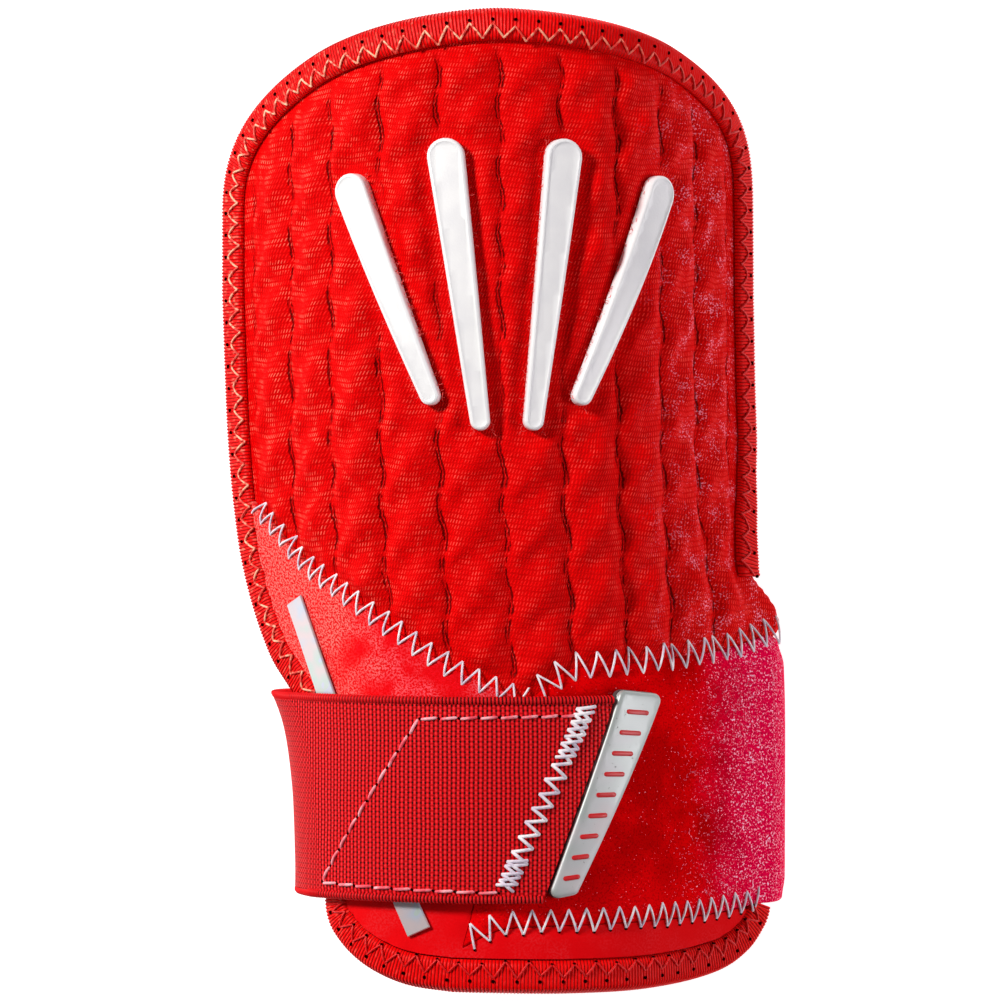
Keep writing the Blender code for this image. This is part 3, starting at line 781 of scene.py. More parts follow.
class Finish:
    """One material, built up from the piece's flat plan in metres."""

    def __init__(self, name, **fixed):
        self.material = bpy.data.materials.new(name)
        self.material.use_nodes = True
        self.tree = self.material.node_tree
        self.shader = self.tree.nodes["Principled BSDF"]
        for name, value in fixed.items():
            self.set(name.replace("_", " ").title(), value)

    def set(self, name, value):
        """Sets or links one of the shader's own sockets."""
        socket = self.shader.inputs[name.replace("Ior", "IOR")]
        if isinstance(value, tuple):
            value = (*value, 1)[:len(socket.default_value)]
        self.feed(socket, value)

    def feed(self, socket, value):
        if isinstance(value, Shade):
            self.tree.links.new(value.socket, socket)
        else:
            socket.default_value = value

    def node(self, kind, settings=None, sockets=None, output=0):
        """Any node: its settings first, then its sockets' values and links."""
        node = self.tree.nodes.new(kind)
        for name, value in (settings or {}).items():
            setattr(node, name, value)
        for name, value in (sockets or {}).items():
            if isinstance(value, tuple) and len(node.inputs[name].default_value) == 4:
                value = (*value, 1)
            self.feed(node.inputs[name], value)
        return Shade(self, node.outputs[output])

    def maths(self, operation, *values):
        return self.node("ShaderNodeMath", {"operation": operation}, dict(enumerate(values)))

    def plan(self):
        """Distance along the plan's two directions, in metres."""
        place = self.node("ShaderNodeTexCoord", output="UV")
        return self.axis(place, 0), self.axis(place, 1)

    def axis(self, place, k):
        """One of a place's coordinates."""
        return self.node("ShaderNodeSeparateXYZ", {}, {0: place}, output=k)

    def spot(self, x, y):
        return self.node("ShaderNodeCombineXYZ", {}, {0: x, 1: y})

    def wave(self, value):
        """Sine of a count of turns."""
        return self.maths("SINE", value * (2 * pi))

    def part(self, value):
        """What is left of a count after its whole turns."""
        return self.maths("FRACT", value)

    def hump(self, value):
        """A rounded ridge, 0 at whole counts and 1 between them."""
        return self.maths("ABSOLUTE", self.maths("SINE", value * pi))

    def away(self, value):
        """How far a count is from the nearest whole one."""
        return self.maths("ABSOLUTE", self.part(value + 0.5) - 0.5)

    def rise(self, value, low, high, start=0.0, end=1.0):
        """Smooth step from start at low to end at high."""
        sockets = {"Value": value, "From Min": low, "From Max": high, "To Min": start, "To Max": end}
        return self.node("ShaderNodeMapRange", {"interpolation_type": "SMOOTHSTEP"}, sockets)

    def noise(self, place, scale, detail=2.0, roughness=0.5):
        sockets = {"Vector": place, "Scale": scale, "Detail": detail, "Roughness": roughness}
        return self.node("ShaderNodeTexNoise", {}, sockets)

    def mix(self, share, first, second):
        """One colour into another."""
        sockets = {0: share, 6: first, 7: second}
        return self.node("ShaderNodeMix", {"data_type": "RGBA", "clamp_factor": True}, sockets, output=2)

    def relief(self, height):
        """Bumps from a height in metres."""
        sockets = {"Height": height, "Strength": 1.0, "Distance": 1.0}
        self.set("Normal", self.node("ShaderNodeBump", {}, sockets))


def object_place(finish):
    return finish.node("ShaderNodeTexCoord", output="Object")


def lit_side(finish, tilt=0.1, low=0.0, high=0.055):
    """From 0 at the right to 1 at the upper left: the side facing the key light, where highlights are
    painted.
    """
    place = object_place(finish)
    return finish.rise(finish.axis(place, 1) * tilt - finish.axis(place, 0), low, high)


def mottled_finish(name, scale, detail, first, second, **fixed):
    """A plain finish that drifts between two colours."""
    finish = Finish(name, **fixed)
    tone = finish.noise(object_place(finish), scale, detail)
    finish.set("Base Color", finish.mix(tone, first, second))
    return finish


def knit_finish():
    """Warp knit: slanted loops with painted shade between them and painted highlights on them, peach
    towards the upper left; painted shade in broken creases; and pink fluff at the right.
    """
    finish = Finish("red_knit", specular_ior_level=0.04)
    u, v = finish.plan()
    spot = finish.spot(u, v)
    slip = finish.rise(v / -PAD_LENGTH, -ROW_SLIP_START, -ROW_SLIP_END, 0.0, ROW_SLIP)
    row = v / QUILT_ROW + slip - ROW_ZERO * PAD_LENGTH / QUILT_ROW
    wobble = (finish.noise(spot, 900.0, 1.0) - 0.5) * 0.06
    column = u / QUILT_COLUMN + finish.wave(row) * COLUMN_WEAVE + wobble
    groove = finish.away(column)
    joint = finish.away(row)
    quilt = finish.node("ShaderNodeAttribute", {"attribute_name": "quilt"}, output="Fac")
    broken = finish.rise(finish.noise(finish.spot(u * 5.0, v), 240.0, 1.0), 0.36, 0.52)
    beside = finish.maths("ABSOLUTE", groove - 0.026)
    # Mask of painted shade along the creases beside the quilting's grooves, also sunk into the bumps
    crease = finish.rise(beside, 0.022, 0.006) * finish.rise(joint, 0.49, 0.42) * quilt * broken
    drift = finish.noise(spot, 90.0) - 0.5
    across = u / KNIT_ACROSS + drift * 1.6
    along = v / KNIT_ALONG + drift * 0.8 + groove * 1.2
    up = finish.part(along)
    loop = finish.away(across + finish.part(finish.maths("FLOOR", along) * 0.5) - up * 0.8 + 0.5)
    dash = finish.rise(loop, 0.33, 0.05) * finish.rise(finish.maths("ABSOLUTE", up - 0.5), 0.54, 0.20)
    crinkle = finish.noise(spot, 430.0, 3.0, 0.6) * quilt
    finish.relief(dash * 0.00004 - crease * 0.00015 + crinkle * 0.00050)
    slow = finish.noise(spot, 420.0, 2.0)
    # Painted highlights on the loops' tops in patches, peach towards the upper left
    knit_highlight = finish.rise(dash, 0.50, 0.95) * finish.rise(slow, 0.44, 0.72)
    # Painted shade in the gaps between loops, full red on their tops
    colour = finish.mix(finish.rise(dash, 0.0, 0.7), LOOP_SHADE_RED, RED)
    colour = finish.mix(knit_highlight, colour, finish.mix(lit_side(finish), HIGHLIGHT_RED, PEACH_HIGHLIGHT))
    fluff = finish.noise(spot, 2400.0, 2.0, 0.7) + finish.noise(spot, 260.0) * 0.5
    right = finish.rise(finish.axis(object_place(finish), 0), 0.020, 0.036)
    colour = finish.mix(finish.rise(fluff, 0.86, 0.93) * right, colour, FLUFF_PINK)
    # Painted shade darkens the creases
    finish.set("Base Color", finish.mix(crease * 0.85, colour, CREASE_SHADE))
    finish.set("Roughness", finish.rise(dash, 0.2, 1.0, 0.80, 0.40))
    return finish


def tape_finish():
    """Ribbed tape: painted shade between the ribs, and painted highlights on scattered rib tops, peach
    towards the upper left.
    """
    finish = Finish("red_tape", specular_ior_level=0.10)
    across, along = finish.plan()
    rib = finish.hump(across / TAPE_RIB)
    shade = finish.noise(finish.spot(across / TAPE_RIB, along * 900.0), 0.9, 2.0)
    # Painted shade in the grooves between ribs
    colour = finish.mix(finish.rise(rib, 0.12, 0.75), (0.30, 0.0, 0.0), RED)
    # Painted highlight colour, peach on the side facing the key light
    tape_highlight = finish.mix(lit_side(finish), (0.94, 0.014, 0.014), PEACH_HIGHLIGHT)
    colour = finish.mix(finish.rise(shade, 0.53, 0.71) * rib, colour, tape_highlight)
    finish.set("Base Color", colour)
    finish.set("Roughness", finish.rise(rib, 0.2, 1.0, 0.8, 0.38))
    finish.relief(shade * rib * 0.00005)
    return finish


def side_cloth_finish():
    """Brushed cloth: deep red, speckled coral towards the left."""
    finish = Finish("coral_cloth", roughness=0.8, specular_ior_level=0.05)
    across, along = finish.plan()
    spot = finish.spot(across, along)
    grain = finish.noise(spot, 2500.0, 2.0, 0.7)
    patch = finish.noise(spot, 130.0, 2.0)
    away = finish.rise(along, 0.014, 0.032, 0.12, 1.0)
    coral = finish.rise(patch * 0.7 + (across + 0.024) * -16.0, 0.28, 0.62)
    coral = coral * finish.rise(along, 0.004, 0.024, 0.25, 1.0)
    speckle = finish.rise(grain, 0.475, 0.55) * away
    deep = finish.mix(coral, (0.78, 0.0006, 0.003), (0.72, 0.006, 0.008))
    pink = finish.mix(finish.rise(patch, 0.40, 0.64), (0.86, 0.003, 0.010), (0.94, 0.090, 0.120))
    finish.set("Base Color", finish.mix(speckle, deep, finish.mix(coral, pink, (0.84, 0.165, 0.145))))
    finish.relief(grain * 0.00004)
    return finish


def pearl_finish():
    """Pearly film: grey-white with faint bands of colour."""
    finish = Finish("pearl_film", roughness=0.3, metallic=0.35, coat_weight=0.4, coat_roughness=0.15)
    across, along = finish.plan()
    tone = finish.noise(finish.spot(across, along), 260.0, 1.0)
    hue = finish.part(tone * 1.7 + along * 60.0)
    warm = finish.mix(finish.rise(hue, 0.0, 0.5), (0.50, 0.61, 0.58), (0.66, 0.56, 0.58))
    finish.set("Base Color", finish.mix(finish.rise(hue, 0.5, 1.0), warm, (0.52, 0.58, 0.69)))
    return finish


def velour_finish():
    """Velour: dark and bright where the pile lies over, with painted shade between tufts and painted pink
    sheen and glints towards the right.
    """
    finish = Finish("red_velour", specular_ior_level=0.0)
    across, along = finish.plan()
    spot = finish.spot(across, along)
    lay = finish.noise(spot, 95.0, 3.0, 0.6)
    pile = finish.noise(spot, 2300.0, 2.0, 0.7)
    cluster = finish.noise(spot, 480.0, 2.0) - 0.5
    place = across + lay * 0.016
    colour = finish.mix(finish.rise(lay, 0.35, 0.65), (0.53, 0.0002, 0.0010), (0.82, 0.0004, 0.0020))
    colour = finish.mix(finish.rise(along, 0.022, 0.012), colour, (0.84, 0.0010, 0.0030))
    # Painted pink sheen where the band turns away at the right
    colour = finish.mix(finish.rise(place, 0.044, 0.062), colour, (0.92, 0.0004, 0.064))
    # Painted shade between pile tufts
    colour = finish.mix(finish.rise(pile, 0.50, 0.36) * 0.35, colour, SHADE_BLACK)
    # Painted glints on the pile, more towards the right
    pile_glint = finish.rise(pile + cluster * 0.24 + finish.rise(place, 0.038, 0.060) * 0.12, 0.70, 0.74)
    finish.set("Base Color", finish.mix(pile_glint, colour, PILE_GLINT_PINK))
    finish.set("Roughness", finish.rise(pile_glint, 0.0, 1.0, 0.9, 0.5))
    finish.relief(pile * 0.00008 + lay * 0.00030)
    return finish


def elastic_finish():
    """Woven elastic: close upright ribs, crossed by rows that leave pinholes; painted shade in the pinholes
    and on the low threads, painted highlights on the tops.
    """
    finish = Finish("red_elastic", specular_ior_level=0.10)
    across, along = finish.plan()
    drift = finish.noise(finish.spot(across, along), 110.0) - 0.5
    patch = finish.rise(-across + (along - STRAP_FOOT) * 0.52 - 0.0342, -0.0004, 0.0004)
    across = across / WEAVE_ACROSS + along * 60.0 * patch + drift * 0.5
    along = along / WEAVE_ALONG + drift * 0.4
    rib = finish.hump(across)
    row = finish.hump(along)
    hole = finish.rise(rib + row * (1.0 + patch * 0.6), 0.60, 1.00)
    half = finish.hump(along + 0.5 * finish.rise(finish.wave(across * 0.5), -0.02, 0.02))
    height = rib * (half * 0.6 + 0.5)
    # Painted shade on the low threads
    colour = finish.mix(finish.rise(height, 0.15, 0.75), (0.22, 0.0, 0.001), (0.74, 0.002, 0.005))
    # Painted highlights on the thread tops
    colour = finish.mix(finish.rise(height, 0.70, 1.05), colour, (0.92, 0.022, 0.032))
    # Painted shade in the pinholes
    finish.set("Base Color", finish.mix(hole, SHADE_BLACK, colour))
    finish.set("Roughness", finish.rise(height, 0.2, 1.0, 0.85, 0.40))
    finish.relief(height * hole * 0.00010)
    return finish


def roll_finish():
    """The elastic's rolled edge: ribs with painted shade on their low sides and in the gaps between them.
    """
    finish = Finish("red_elastic_edge", specular_ior_level=0.10)
    across, along = finish.plan()
    rib = finish.hump(across / STRAP_ROLL_RIB)
    slow = finish.noise(finish.spot(across, along), 500.0, 1.0)
    gap = finish.rise(rib + slow * 0.3, 0.42, 0.72)
    # Painted shade on the ribs' low sides and in the gaps
    colour = finish.mix(finish.rise(rib, 0.5, 1.0), (0.34, 0.0, 0.002), (0.76, 0.008, 0.012))
    finish.set("Base Color", finish.mix(gap, SHADE_BLACK, colour))
    finish.set("Roughness", finish.rise(rib, 0.4, 1.0, 0.8, 0.42))
    return finish


def binding_thread_finish():
    """The tape's zigzag: a painted peach highlight where it faces the light at the upper left, red
    elsewhere.
    """
    finish = Finish("lit_zigzag_thread", roughness=0.45, specular_ior_level=0.3)
    place = object_place(finish)
    strand = finish.rise(finish.noise(place, 700.0, 1.0), 0.42, 0.56, 0.10, 1.0)
    upper = finish.rise(finish.axis(place, 1), -0.068, -0.044)
    # Painted highlight mask: upper left, not on the lowest part, broken along the strand
    lit = lit_side(finish, 0.20, -0.030, 0.040) * upper * strand
    finish.set("Base Color", finish.mix(lit, (0.70, 0.003, 0.004), LIT_THREAD_PEACH))
    finish.relief(finish.noise(place, 3600.0, 1.0) * 0.00008)
    return finish


def thread_finish(name, colour, other):
    """Twisted thread with a little variation along it."""
    finish = Finish(name, sheen_weight=0.1, sheen_roughness=0.3, specular_ior_level=0.3)
    place = object_place(finish)
    tone = finish.noise(place, 420.0, 2.0)
    finish.set("Base Color", finish.mix(finish.rise(tone, 0.35, 0.65), colour, other))
    twist = finish.noise(place, 3600.0, 1.0)
    finish.set("Roughness", finish.rise(twist, 0.3, 0.7, 0.35, 0.65))
    finish.relief(twist * 0.00008)
    return finish


def silver_finish():
    """Silver moulding with a faint pearly drift and tiny scuffs."""
    finish = Finish("silver_moulding", metallic=0.30, coat_weight=0.06, coat_roughness=0.4)
    place = object_place(finish)
    drift = finish.noise(place, 110.0, 1.0)
    scuff = finish.rise(finish.noise(place, 1500.0, 3.0), 0.68, 0.74)
    colour = finish.mix(finish.rise(drift, 0.38, 0.5), (0.42, 0.46, 0.45), (0.48, 0.49, 0.50))
    colour = finish.mix(finish.rise(drift, 0.5, 0.66), colour, (0.53, 0.50, 0.51))
    finish.set("Base Color", finish.mix(scuff * 0.6, colour, (0.16, 0.15, 0.15)))
    finish.set("Roughness", finish.rise(drift, 0.3, 0.7, 0.44, 0.56))
    finish.relief(scuff * -0.00003)
    return finish


def rib_finish():
    """White moulding with faint wear."""
    finish = Finish("white_moulding", coat_weight=0.15, coat_roughness=0.3)
    place = object_place(finish)
    tone = finish.noise(place, 240.0, 3.0)
    worn = finish.rise(tone, 0.3, 0.7)
    finish.set("Base Color", finish.mix(worn, (0.84, 0.84, 0.86), (0.88, 0.88, 0.89)))
    finish.set("Roughness", finish.rise(tone, 0.3, 0.7, 0.32, 0.46))
    finish.relief(finish.noise(place, 2400.0, 2.0) * 0.00002)
    return finish


def pad_cover(finish):
    """The padded guard: a finely quilted knit face, a plain back and a rounded rim."""
    us = [point.x for point in OUTLINE]
    vs = [point.y for point in OUTLINE]
    columns = range(floor(min(us) / QUILT_COLUMN), ceil(max(us) / QUILT_COLUMN))
    across = [QUILT_COLUMN * (column + share) for column in columns for share in QUILT_NET]
    margin = QUILT_ROW / 4
    along = lines(min(vs) - margin, max(vs) + margin, QUILT_ROW / QUILT_ROW_NET, ROW_ZERO * PAD_LENGTH)
    bm = slab(OUTLINE, across, along, pad_face, pad_back)

    def weight(u, v, w):
        return quilt_share(u, v) if w > -RIM_THICKNESS else 0.0

    cover = finer(made("pad_cover", bm, finish, weight=weight))
    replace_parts(cover, "quilted_pad")
    return cover


def tape_outside(share):
    """A place on the tape's outer side: out from the pad's edge, and out from its face."""
    tall = TAPE_TOP + RIM_THICKNESS / 2
    turned = (share - TAPE_FACE) / TAPE_FOLD
    if turned < 0:
        distance = -TAPE_ARM * (1 - share / TAPE_FACE)
        return distance, TAPE_TOP - rounded(distance + TAPE_ARM, TAPE_THICKNESS * 0.5)
    if turned < 1:
        angle = pi * (0.5 - turned)
        return TAPE_TOP * cos(angle), -RIM_THICKNESS / 2 + tall * sin(angle)
    distance = -TAPE_ARM * (share - TAPE_FACE - TAPE_FOLD) / (1 - TAPE_FACE - TAPE_FOLD)
    return distance, -RIM_THICKNESS - TAPE_TOP + rounded(distance + TAPE_ARM, TAPE_THICKNESS * 0.5)


def binding_tape(finish):
    """Ribbed tape folded round the rim."""
    length = length_of(TAPED)
    count = round(length / TAPE_RIB) * RIBBED_NET
    places = evenly(TAPED, length / count * 0.999)
    outs = [outward(places, k) for k in range(len(places))]
    outer_steps = 17
    under = -RIM_THICKNESS - CLEARANCE
    inner = ((-TAPE_ARM, under), (CLEARANCE, under), (CLEARANCE, CLEARANCE), (-TAPE_ARM, CLEARANCE))
    girth = TAPE_ARM * 2 + TAPE_AROUND
    around = outer_steps + len(inner) + 1

    def place(x, y, _):
        station = round((x + 0.5) * (len(places) - 1))
        side = round((y + 0.5) * around) % around
        if side <= outer_steps:
            distance, w = tape_outside(side / outer_steps)
            rib = TAPE_RIB_DEPTH * (sin(pi * station / RIBBED_NET) ** 2 - 1)
            deeper = 1.0 if 0 < side < outer_steps else 0.0
            w += rib * deeper * (1 if w > 0 else -1)
            distance += rib * deeper * (0 < distance)
            if distance > 0:
                from_end = min(station, len(places) - 1 - station) * length / count
                distance *= 0.45 + 0.55 * ease(from_end / TAPE_END)
        else:
            distance, w = inner[side - outer_steps - 1]
        spot = places[station] + outs[station] * distance
        return form(spot.x, spot.y, w)

    def plan(x, y, _):
        return (x + 0.5) * length, y * girth

    bm = bmesh.new()
    bmesh.ops.create_grid(bm, x_segments=len(places) - 1, y_segments=around, size=0.5)
    tape = made("binding_tape", bm, finish, place, plan)
    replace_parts(tape, "edge_binding")
    return tape


def side_cloth(finish):
    """Brushed cloth on the lower left and along the foot, round the wrist band's corner."""
    inset = TAPE_ARM + CLEARANCE
    inner = [point - outward(OUTLINE, k, True) * inset for k, point in enumerate(OUTLINE)]
    inner = [point for point in inner if edge_distance(*point) > inset - PANEL_SIDE_GAP / 2]
    side = 2 * HALF_GIRTH
    foot = -PAD_LENGTH / 10
    gap = Vector((0, PANEL_SIDE_GAP))
    under_band = [Vector((side, LOWER_SEAM_LINE[-1].y))] + LOWER_SEAM_LINE[::-1]
    region = [Vector((-side, foot)), Vector((side, foot))] + [point - gap for point in under_band]
    region.append(LOWER_SEAM_LINE[0] - Vector((PANEL_SIDE_GAP, 0)))
    region += LEFT_SEAM_LINE[::-1] + [Vector((-side, LEFT_SEAM_LINE[0].y))]
    shape = bmesh.new()
    raised(shape, [polygon(shape, region, -PAD_THICKNESS)], 2 * PAD_THICKNESS)
    bmesh.ops.recalc_face_normals(shape, faces=shape.faces)
    shape = kept_inside(shape, inner, PAD_THICKNESS / 2)
    floor_w = min(vert.co.z for vert in shape.verts)
    faces = (face.verts for face in shape.faces)
    lowest = next(verts for verts in faces if all(abs(vert.co.z - floor_w) < 1e-7 for vert in verts))
    outline = [vert.co.xy.copy() for vert in lowest]
    shape.free()
    distance = near_line(outline, True)
    waves = Random(5)
    ripples = [(waves.uniform(150, 420), waves.uniform(0, 2 * pi), waves.uniform(0, pi))
               for _ in range(5)]

    def top(u, v):
        ripple = sum(sin(pitch * (u * cos(turn) + v * sin(turn)) + phase)
                     for pitch, phase, turn in ripples)
        inner_share = ease(distance(u, v) / 0.006)
        fall = rounded(distance(u, v), PANEL_EDGE)
        return PANEL_TOP - fall + PANEL_RIPPLE * ripple * inner_share - 0.0001

    def bottom(u, v):
        return CLEARANCE

    us, vs = [point.x for point in outline], [point.y for point in outline]
    across, along = [lines(min(values) - PANEL_NET, max(values) + PANEL_NET, PANEL_NET)
                     for values in (us, vs)]
    cloth = made("side_cloth", slab(outline, across, along, top, bottom), finish, sharp=50)
    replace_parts(cloth, "side_panel")
    pairs = zip(outline, outline[1:] + outline[:1])
    area = abs(sum(a.x * b.y - b.x * a.y for a, b in pairs)) / 2
    tall = max(vs) - min(vs)
    return cloth


def pearly_stripe(finish):
    """A straight slanted stripe on the side cloth, passing under the strap."""
    foot, head = [flat(*row) for row in STRIPE]
    direction = (head - foot).normalized()
    half = Vector((direction.y, -direction.x)) * STRIPE_WIDTH / 2
    bm = bmesh.new()
    corners = [foot - half, foot + half, head + half, head - half]
    cap = raised(bm, [polygon(bm, corners, STRIPE_BASE)], STRIPE_THICKNESS * 0.5)
    bmesh.ops.inset_region(bm, faces=cap, thickness=STRIPE_THICKNESS / 2, depth=STRIPE_THICKNESS / 2)
    bmesh.ops.recalc_face_normals(bm, faces=bm.faces)
    cut_up(bm, 0.002)
    stripe = made("pearly_stripe", bm, finish, sharp=30)
    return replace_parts(stripe, "reflective_stripe")


def net_block(bm, across, along):
    """A closed block of a net, with its lower side at 0 and its upper side at 1."""
    bmesh.ops.create_grid(bm, x_segments=across, y_segments=along, size=0.5)
    bmesh.ops.translate(bm, verts=bm.verts, vec=(0.5, 0.5, 0))
    raised(bm, bm.faces, 1.0)


def towards_edges(share):
    """Places across a strip, closer together near its edges."""
    return 0.5 - 0.5 * cos(pi * share)


def band_rise(distance, edge):
    """Thickness of the wrist band at a distance from its sewn edge, from the thickness of that edge."""
    return edge + (BAND_THICKNESS - edge) * ease(distance / BAND_EDGE_RUN)


def between(base, thickness, upper, distance, edge):
    """Height of a cloth's lower or upper side, its edges rounded."""
    middle = base + thickness / 2
    half = thickness / 2 * (1 - rounded(distance / edge, 1.0))
    return middle + (half if upper > 0.5 else -half)


def velour_band(finish):
    """Velour over the lower right, round the right side and flat under the wrist."""
    front, bend = 0.62, 0.88
    middle = STRAP_MIDDLE * PAD_LENGTH
    join_x = JOIN_OUT * HALF_GIRTH + CLEARANCE / 2
    first_top = flat(*RIGHT_SEAM[0])
    first_foot = flat(*LOWER_SEAM[0])
    foot_v = LOWER_SEAM_LINE[-1].y
    foot_turn, top_turn = right_turn(foot_v), right_turn(BAND_TURN * PAD_LENGTH)
    top_v = seam_height(RIGHT_SEAM_LINE, top_turn)
    creases = Random(11)
    ranges = ((0.008, 0.048), (0.014, 0.050), (0.003, 0.008))
    dents = [[creases.uniform(*ends) for ends in ranges] for _ in range(BAND_DENTS)]

    def spot_at(s, t):
        share = min(s / front, 1.0)
        top_u = first_top.x + (top_turn - first_top.x) * share
        foot_u = first_foot.x + (foot_turn - first_foot.x) * share
        top = Vector((top_u, seam_height(RIGHT_SEAM_LINE, top_u)))
        foot = Vector((foot_u, seam_height(LOWER_SEAM_LINE, foot_u)))
        return foot.lerp(top, t)

    def place(s, t, upper):
        t = towards_edges(t)
        spot = spot_at(s, t)
        edge = min(t, 1 - t) * STRAP_WIDTH * 1.2
        thickness = band_rise(min(edge, s * 0.080), BAND_LOW_EDGE if t < 0.5 else BAND_TOP_EDGE)
        w = between(CLEARANCE, thickness, upper, edge, 0.0004)
        if s <= front:
            if upper > 0.5:
                hollow = sum(bell((spot - Vector((u, v))).length_squared / size ** 2)
                             for u, v, size in dents)
                w -= BAND_DENT_DEPTH * hollow * ease(edge / BAND_EDGE_RUN)
            return form(spot.x, spot.y, w)
        v_front = foot_v + (top_v - foot_v) * t
        v_flat = middle - STRAP_WIDTH / 2 + STRAP_WIDTH * t
        v = v_front + (v_flat - v_front) * ease((s - front) / (0.95 - front))
        turn = foot_turn + (top_turn - foot_turn) * t
        if s <= bend:
            spot = turned_under(1, turn, v_front, BAND_TOP, (s - front) / (bend - front), w)
        else:
            spot = under_wrist(1, turn, v_front, BAND_TOP, (s - bend) / (1 - bend), w, join_x)
        spot.y = v - PAD_LENGTH / 2
        return spot

    def plan(s, t, _):
        spot = spot_at(s, towards_edges(t))
        return spot.x + max(s - front, 0.0) / (1 - front) * 0.07, spot.y

    bm = bmesh.new()
    net_block(bm, 150, 44)
    band = made("velour_band", bm, finish, place, plan, sharp=60)
    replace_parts(band, "wrist_band")
    return band


STRAP_BEND_RUN = 0.050
STRAP_FLAT_RUN = 0.046
STRAP_FRONT_OUT = max(left_turn(STRAP_FOOT + share * STRAP_WIDTH / 8) for share in range(9))
STRAP_JOIN_X = JOIN_OUT * HALF_GIRTH - CLEARANCE / 2
STRAP_REACH = STRAP_FRONT_OUT + STRAP_BEND_RUN + STRAP_FLAT_RUN


def along_strap(out, v, w):
    """A place on the strap: out is the distance from the crown line to the left, on round the wrist."""
    turn = left_turn(v)
    if out <= turn:
        return form(-out, v, w)
    bend = STRAP_FRONT_OUT + STRAP_BEND_RUN - turn
    if out <= turn + bend:
        return turned_under(-1, turn, v, STRAP_TOP, (out - turn) / bend, w)
    share = (out - turn - bend) / STRAP_FLAT_RUN
    return under_wrist(-1, turn, v, STRAP_TOP, share, w, STRAP_JOIN_X)


TOPSTITCH_LINE = [on_strap(*row) for row in TOPSTITCH]


def strap_surface(u, v):
    """Height of the strap's face: a second layer is sewn on inside the topstitch."""
    top, foot = TOPSTITCH_LINE[1], TOPSTITCH_LINE[2]
    slant = foot.x + (top.x - foot.x) * (v - foot.y) / (top.y - foot.y)
    inside = min(u - slant, v - foot.y + 0.001, top.y + 0.001 - v)
    return STRAP_TOP + STRAP_PATCH_RISE * (ease((inside + 0.0006) / 0.0012) - 0.5)


def elastic_web(finish):
    """The strap's woven middle, from the tab round the left side and under the wrist."""
    inset = STRAP_ROLL * 0.8

    def flat_at(s, t):
        v = STRAP_FOOT + inset + (STRAP_WIDTH - 2 * inset) * t
        start = -strap_end(v)
        return start + (STRAP_REACH - start) * s, v

    def place(s, t, upper):
        out, v = flat_at(s, t)
        w = strap_surface(-out, v) if upper > 0.5 else STRAP_BASE
        return along_strap(out, v, min(w, STRAP_TOP + 0.0001 * (out < STRAP_FRONT_OUT)))

    def plan(s, t, _):
        return flat_at(s, t)

    bm = bmesh.new()
    net_block(bm, 240, 48)
    web = made("elastic_web", bm, finish, place, plan, sharp=50)
    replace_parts(web, "elastic_strap")
    return web


def rolled_edge(name, v, finish):
    """The elastic's ribbed rolled edge."""
    start = -strap_end(v)
    count = round((STRAP_REACH - start) / STRAP_ROLL_RIB) * RIBBED_NET
    around = 10
    radius = STRAP_THICKNESS / 2

    def place(x, y, _):
        station = round((x + 0.5) * count)
        angle = 2 * pi * round((y + 0.5) * around) / around
        out = start + (STRAP_REACH - start) * station / count
        lifted = STRAP_ROLL_LIFT * ease((STRAP_FRONT_OUT - out) / 0.006)
        ribbed = radius - STRAP_ROLL_RIB_DEPTH * cos(pi * station / RIBBED_NET) ** 2
        across = v + ribbed * cos(angle)
        w = STRAP_BASE + radius + lifted + ribbed * sin(angle) * (1 + lifted / radius / 2)
        return along_strap(out, across, w)

    def plan(x, y, _):
        return (x + 0.5) * (STRAP_REACH - start), (y + 0.5) * 2 * pi * radius

    bm = bmesh.new()
    bmesh.ops.create_grid(bm, x_segments=count, y_segments=around, size=0.5)
    return made(name, bm, finish, place, plan)


def rounded_polygon(corners, radius, arc_steps=6):
    """A polygon with each corner rounded off."""
    points = []
    count = len(corners)
    for k, corner in enumerate(corners):
        back = (corners[k - 1] - corner).normalized()
        ahead = (corners[(k + 1) % count] - corner).normalized()
        half_angle = back.angle(ahead) / 2
        tangent = radius / abs(sin(half_angle) / cos(half_angle))
        centre = corner + (back + ahead).normalized() * (radius / sin(half_angle))
        start = corner + back * tangent - centre
        end = corner + ahead * tangent - centre
        sweep = start.angle_signed(end)
        for step in range(arc_steps + 1):
            turned = start.copy()
            turned.rotate(Matrix.Rotation(-sweep * step / arc_steps, 2))
            points.append(centre + turned)
    return points


TAB_TOP = STRAP_FOOT + STRAP_WIDTH + TAB_OVERHANG
TAB_FOOT = STRAP_FOOT + TAB_OVERHANG / 2
TAB_LEFT_FOOT, TAB_LEFT_TOP = [strap_end(v) + CLEARANCE * 1.5 for v in (TAB_FOOT, TAB_TOP)]
TAB_CORNERS = [
    Vector((TAB_LEFT_FOOT, TAB_FOOT)),
    Vector((TAB_LEFT_FOOT + TAB_FOOT_WIDTH, TAB_FOOT + TAB_OVERHANG)),
    Vector((TAB_LEFT_TOP + TAB_TOP_WIDTH, TAB_TOP - TAB_OVERHANG)),
    Vector((TAB_LEFT_TOP, TAB_TOP)),
]
TAB_BASE = STRAP_BASE - CLEARANCE


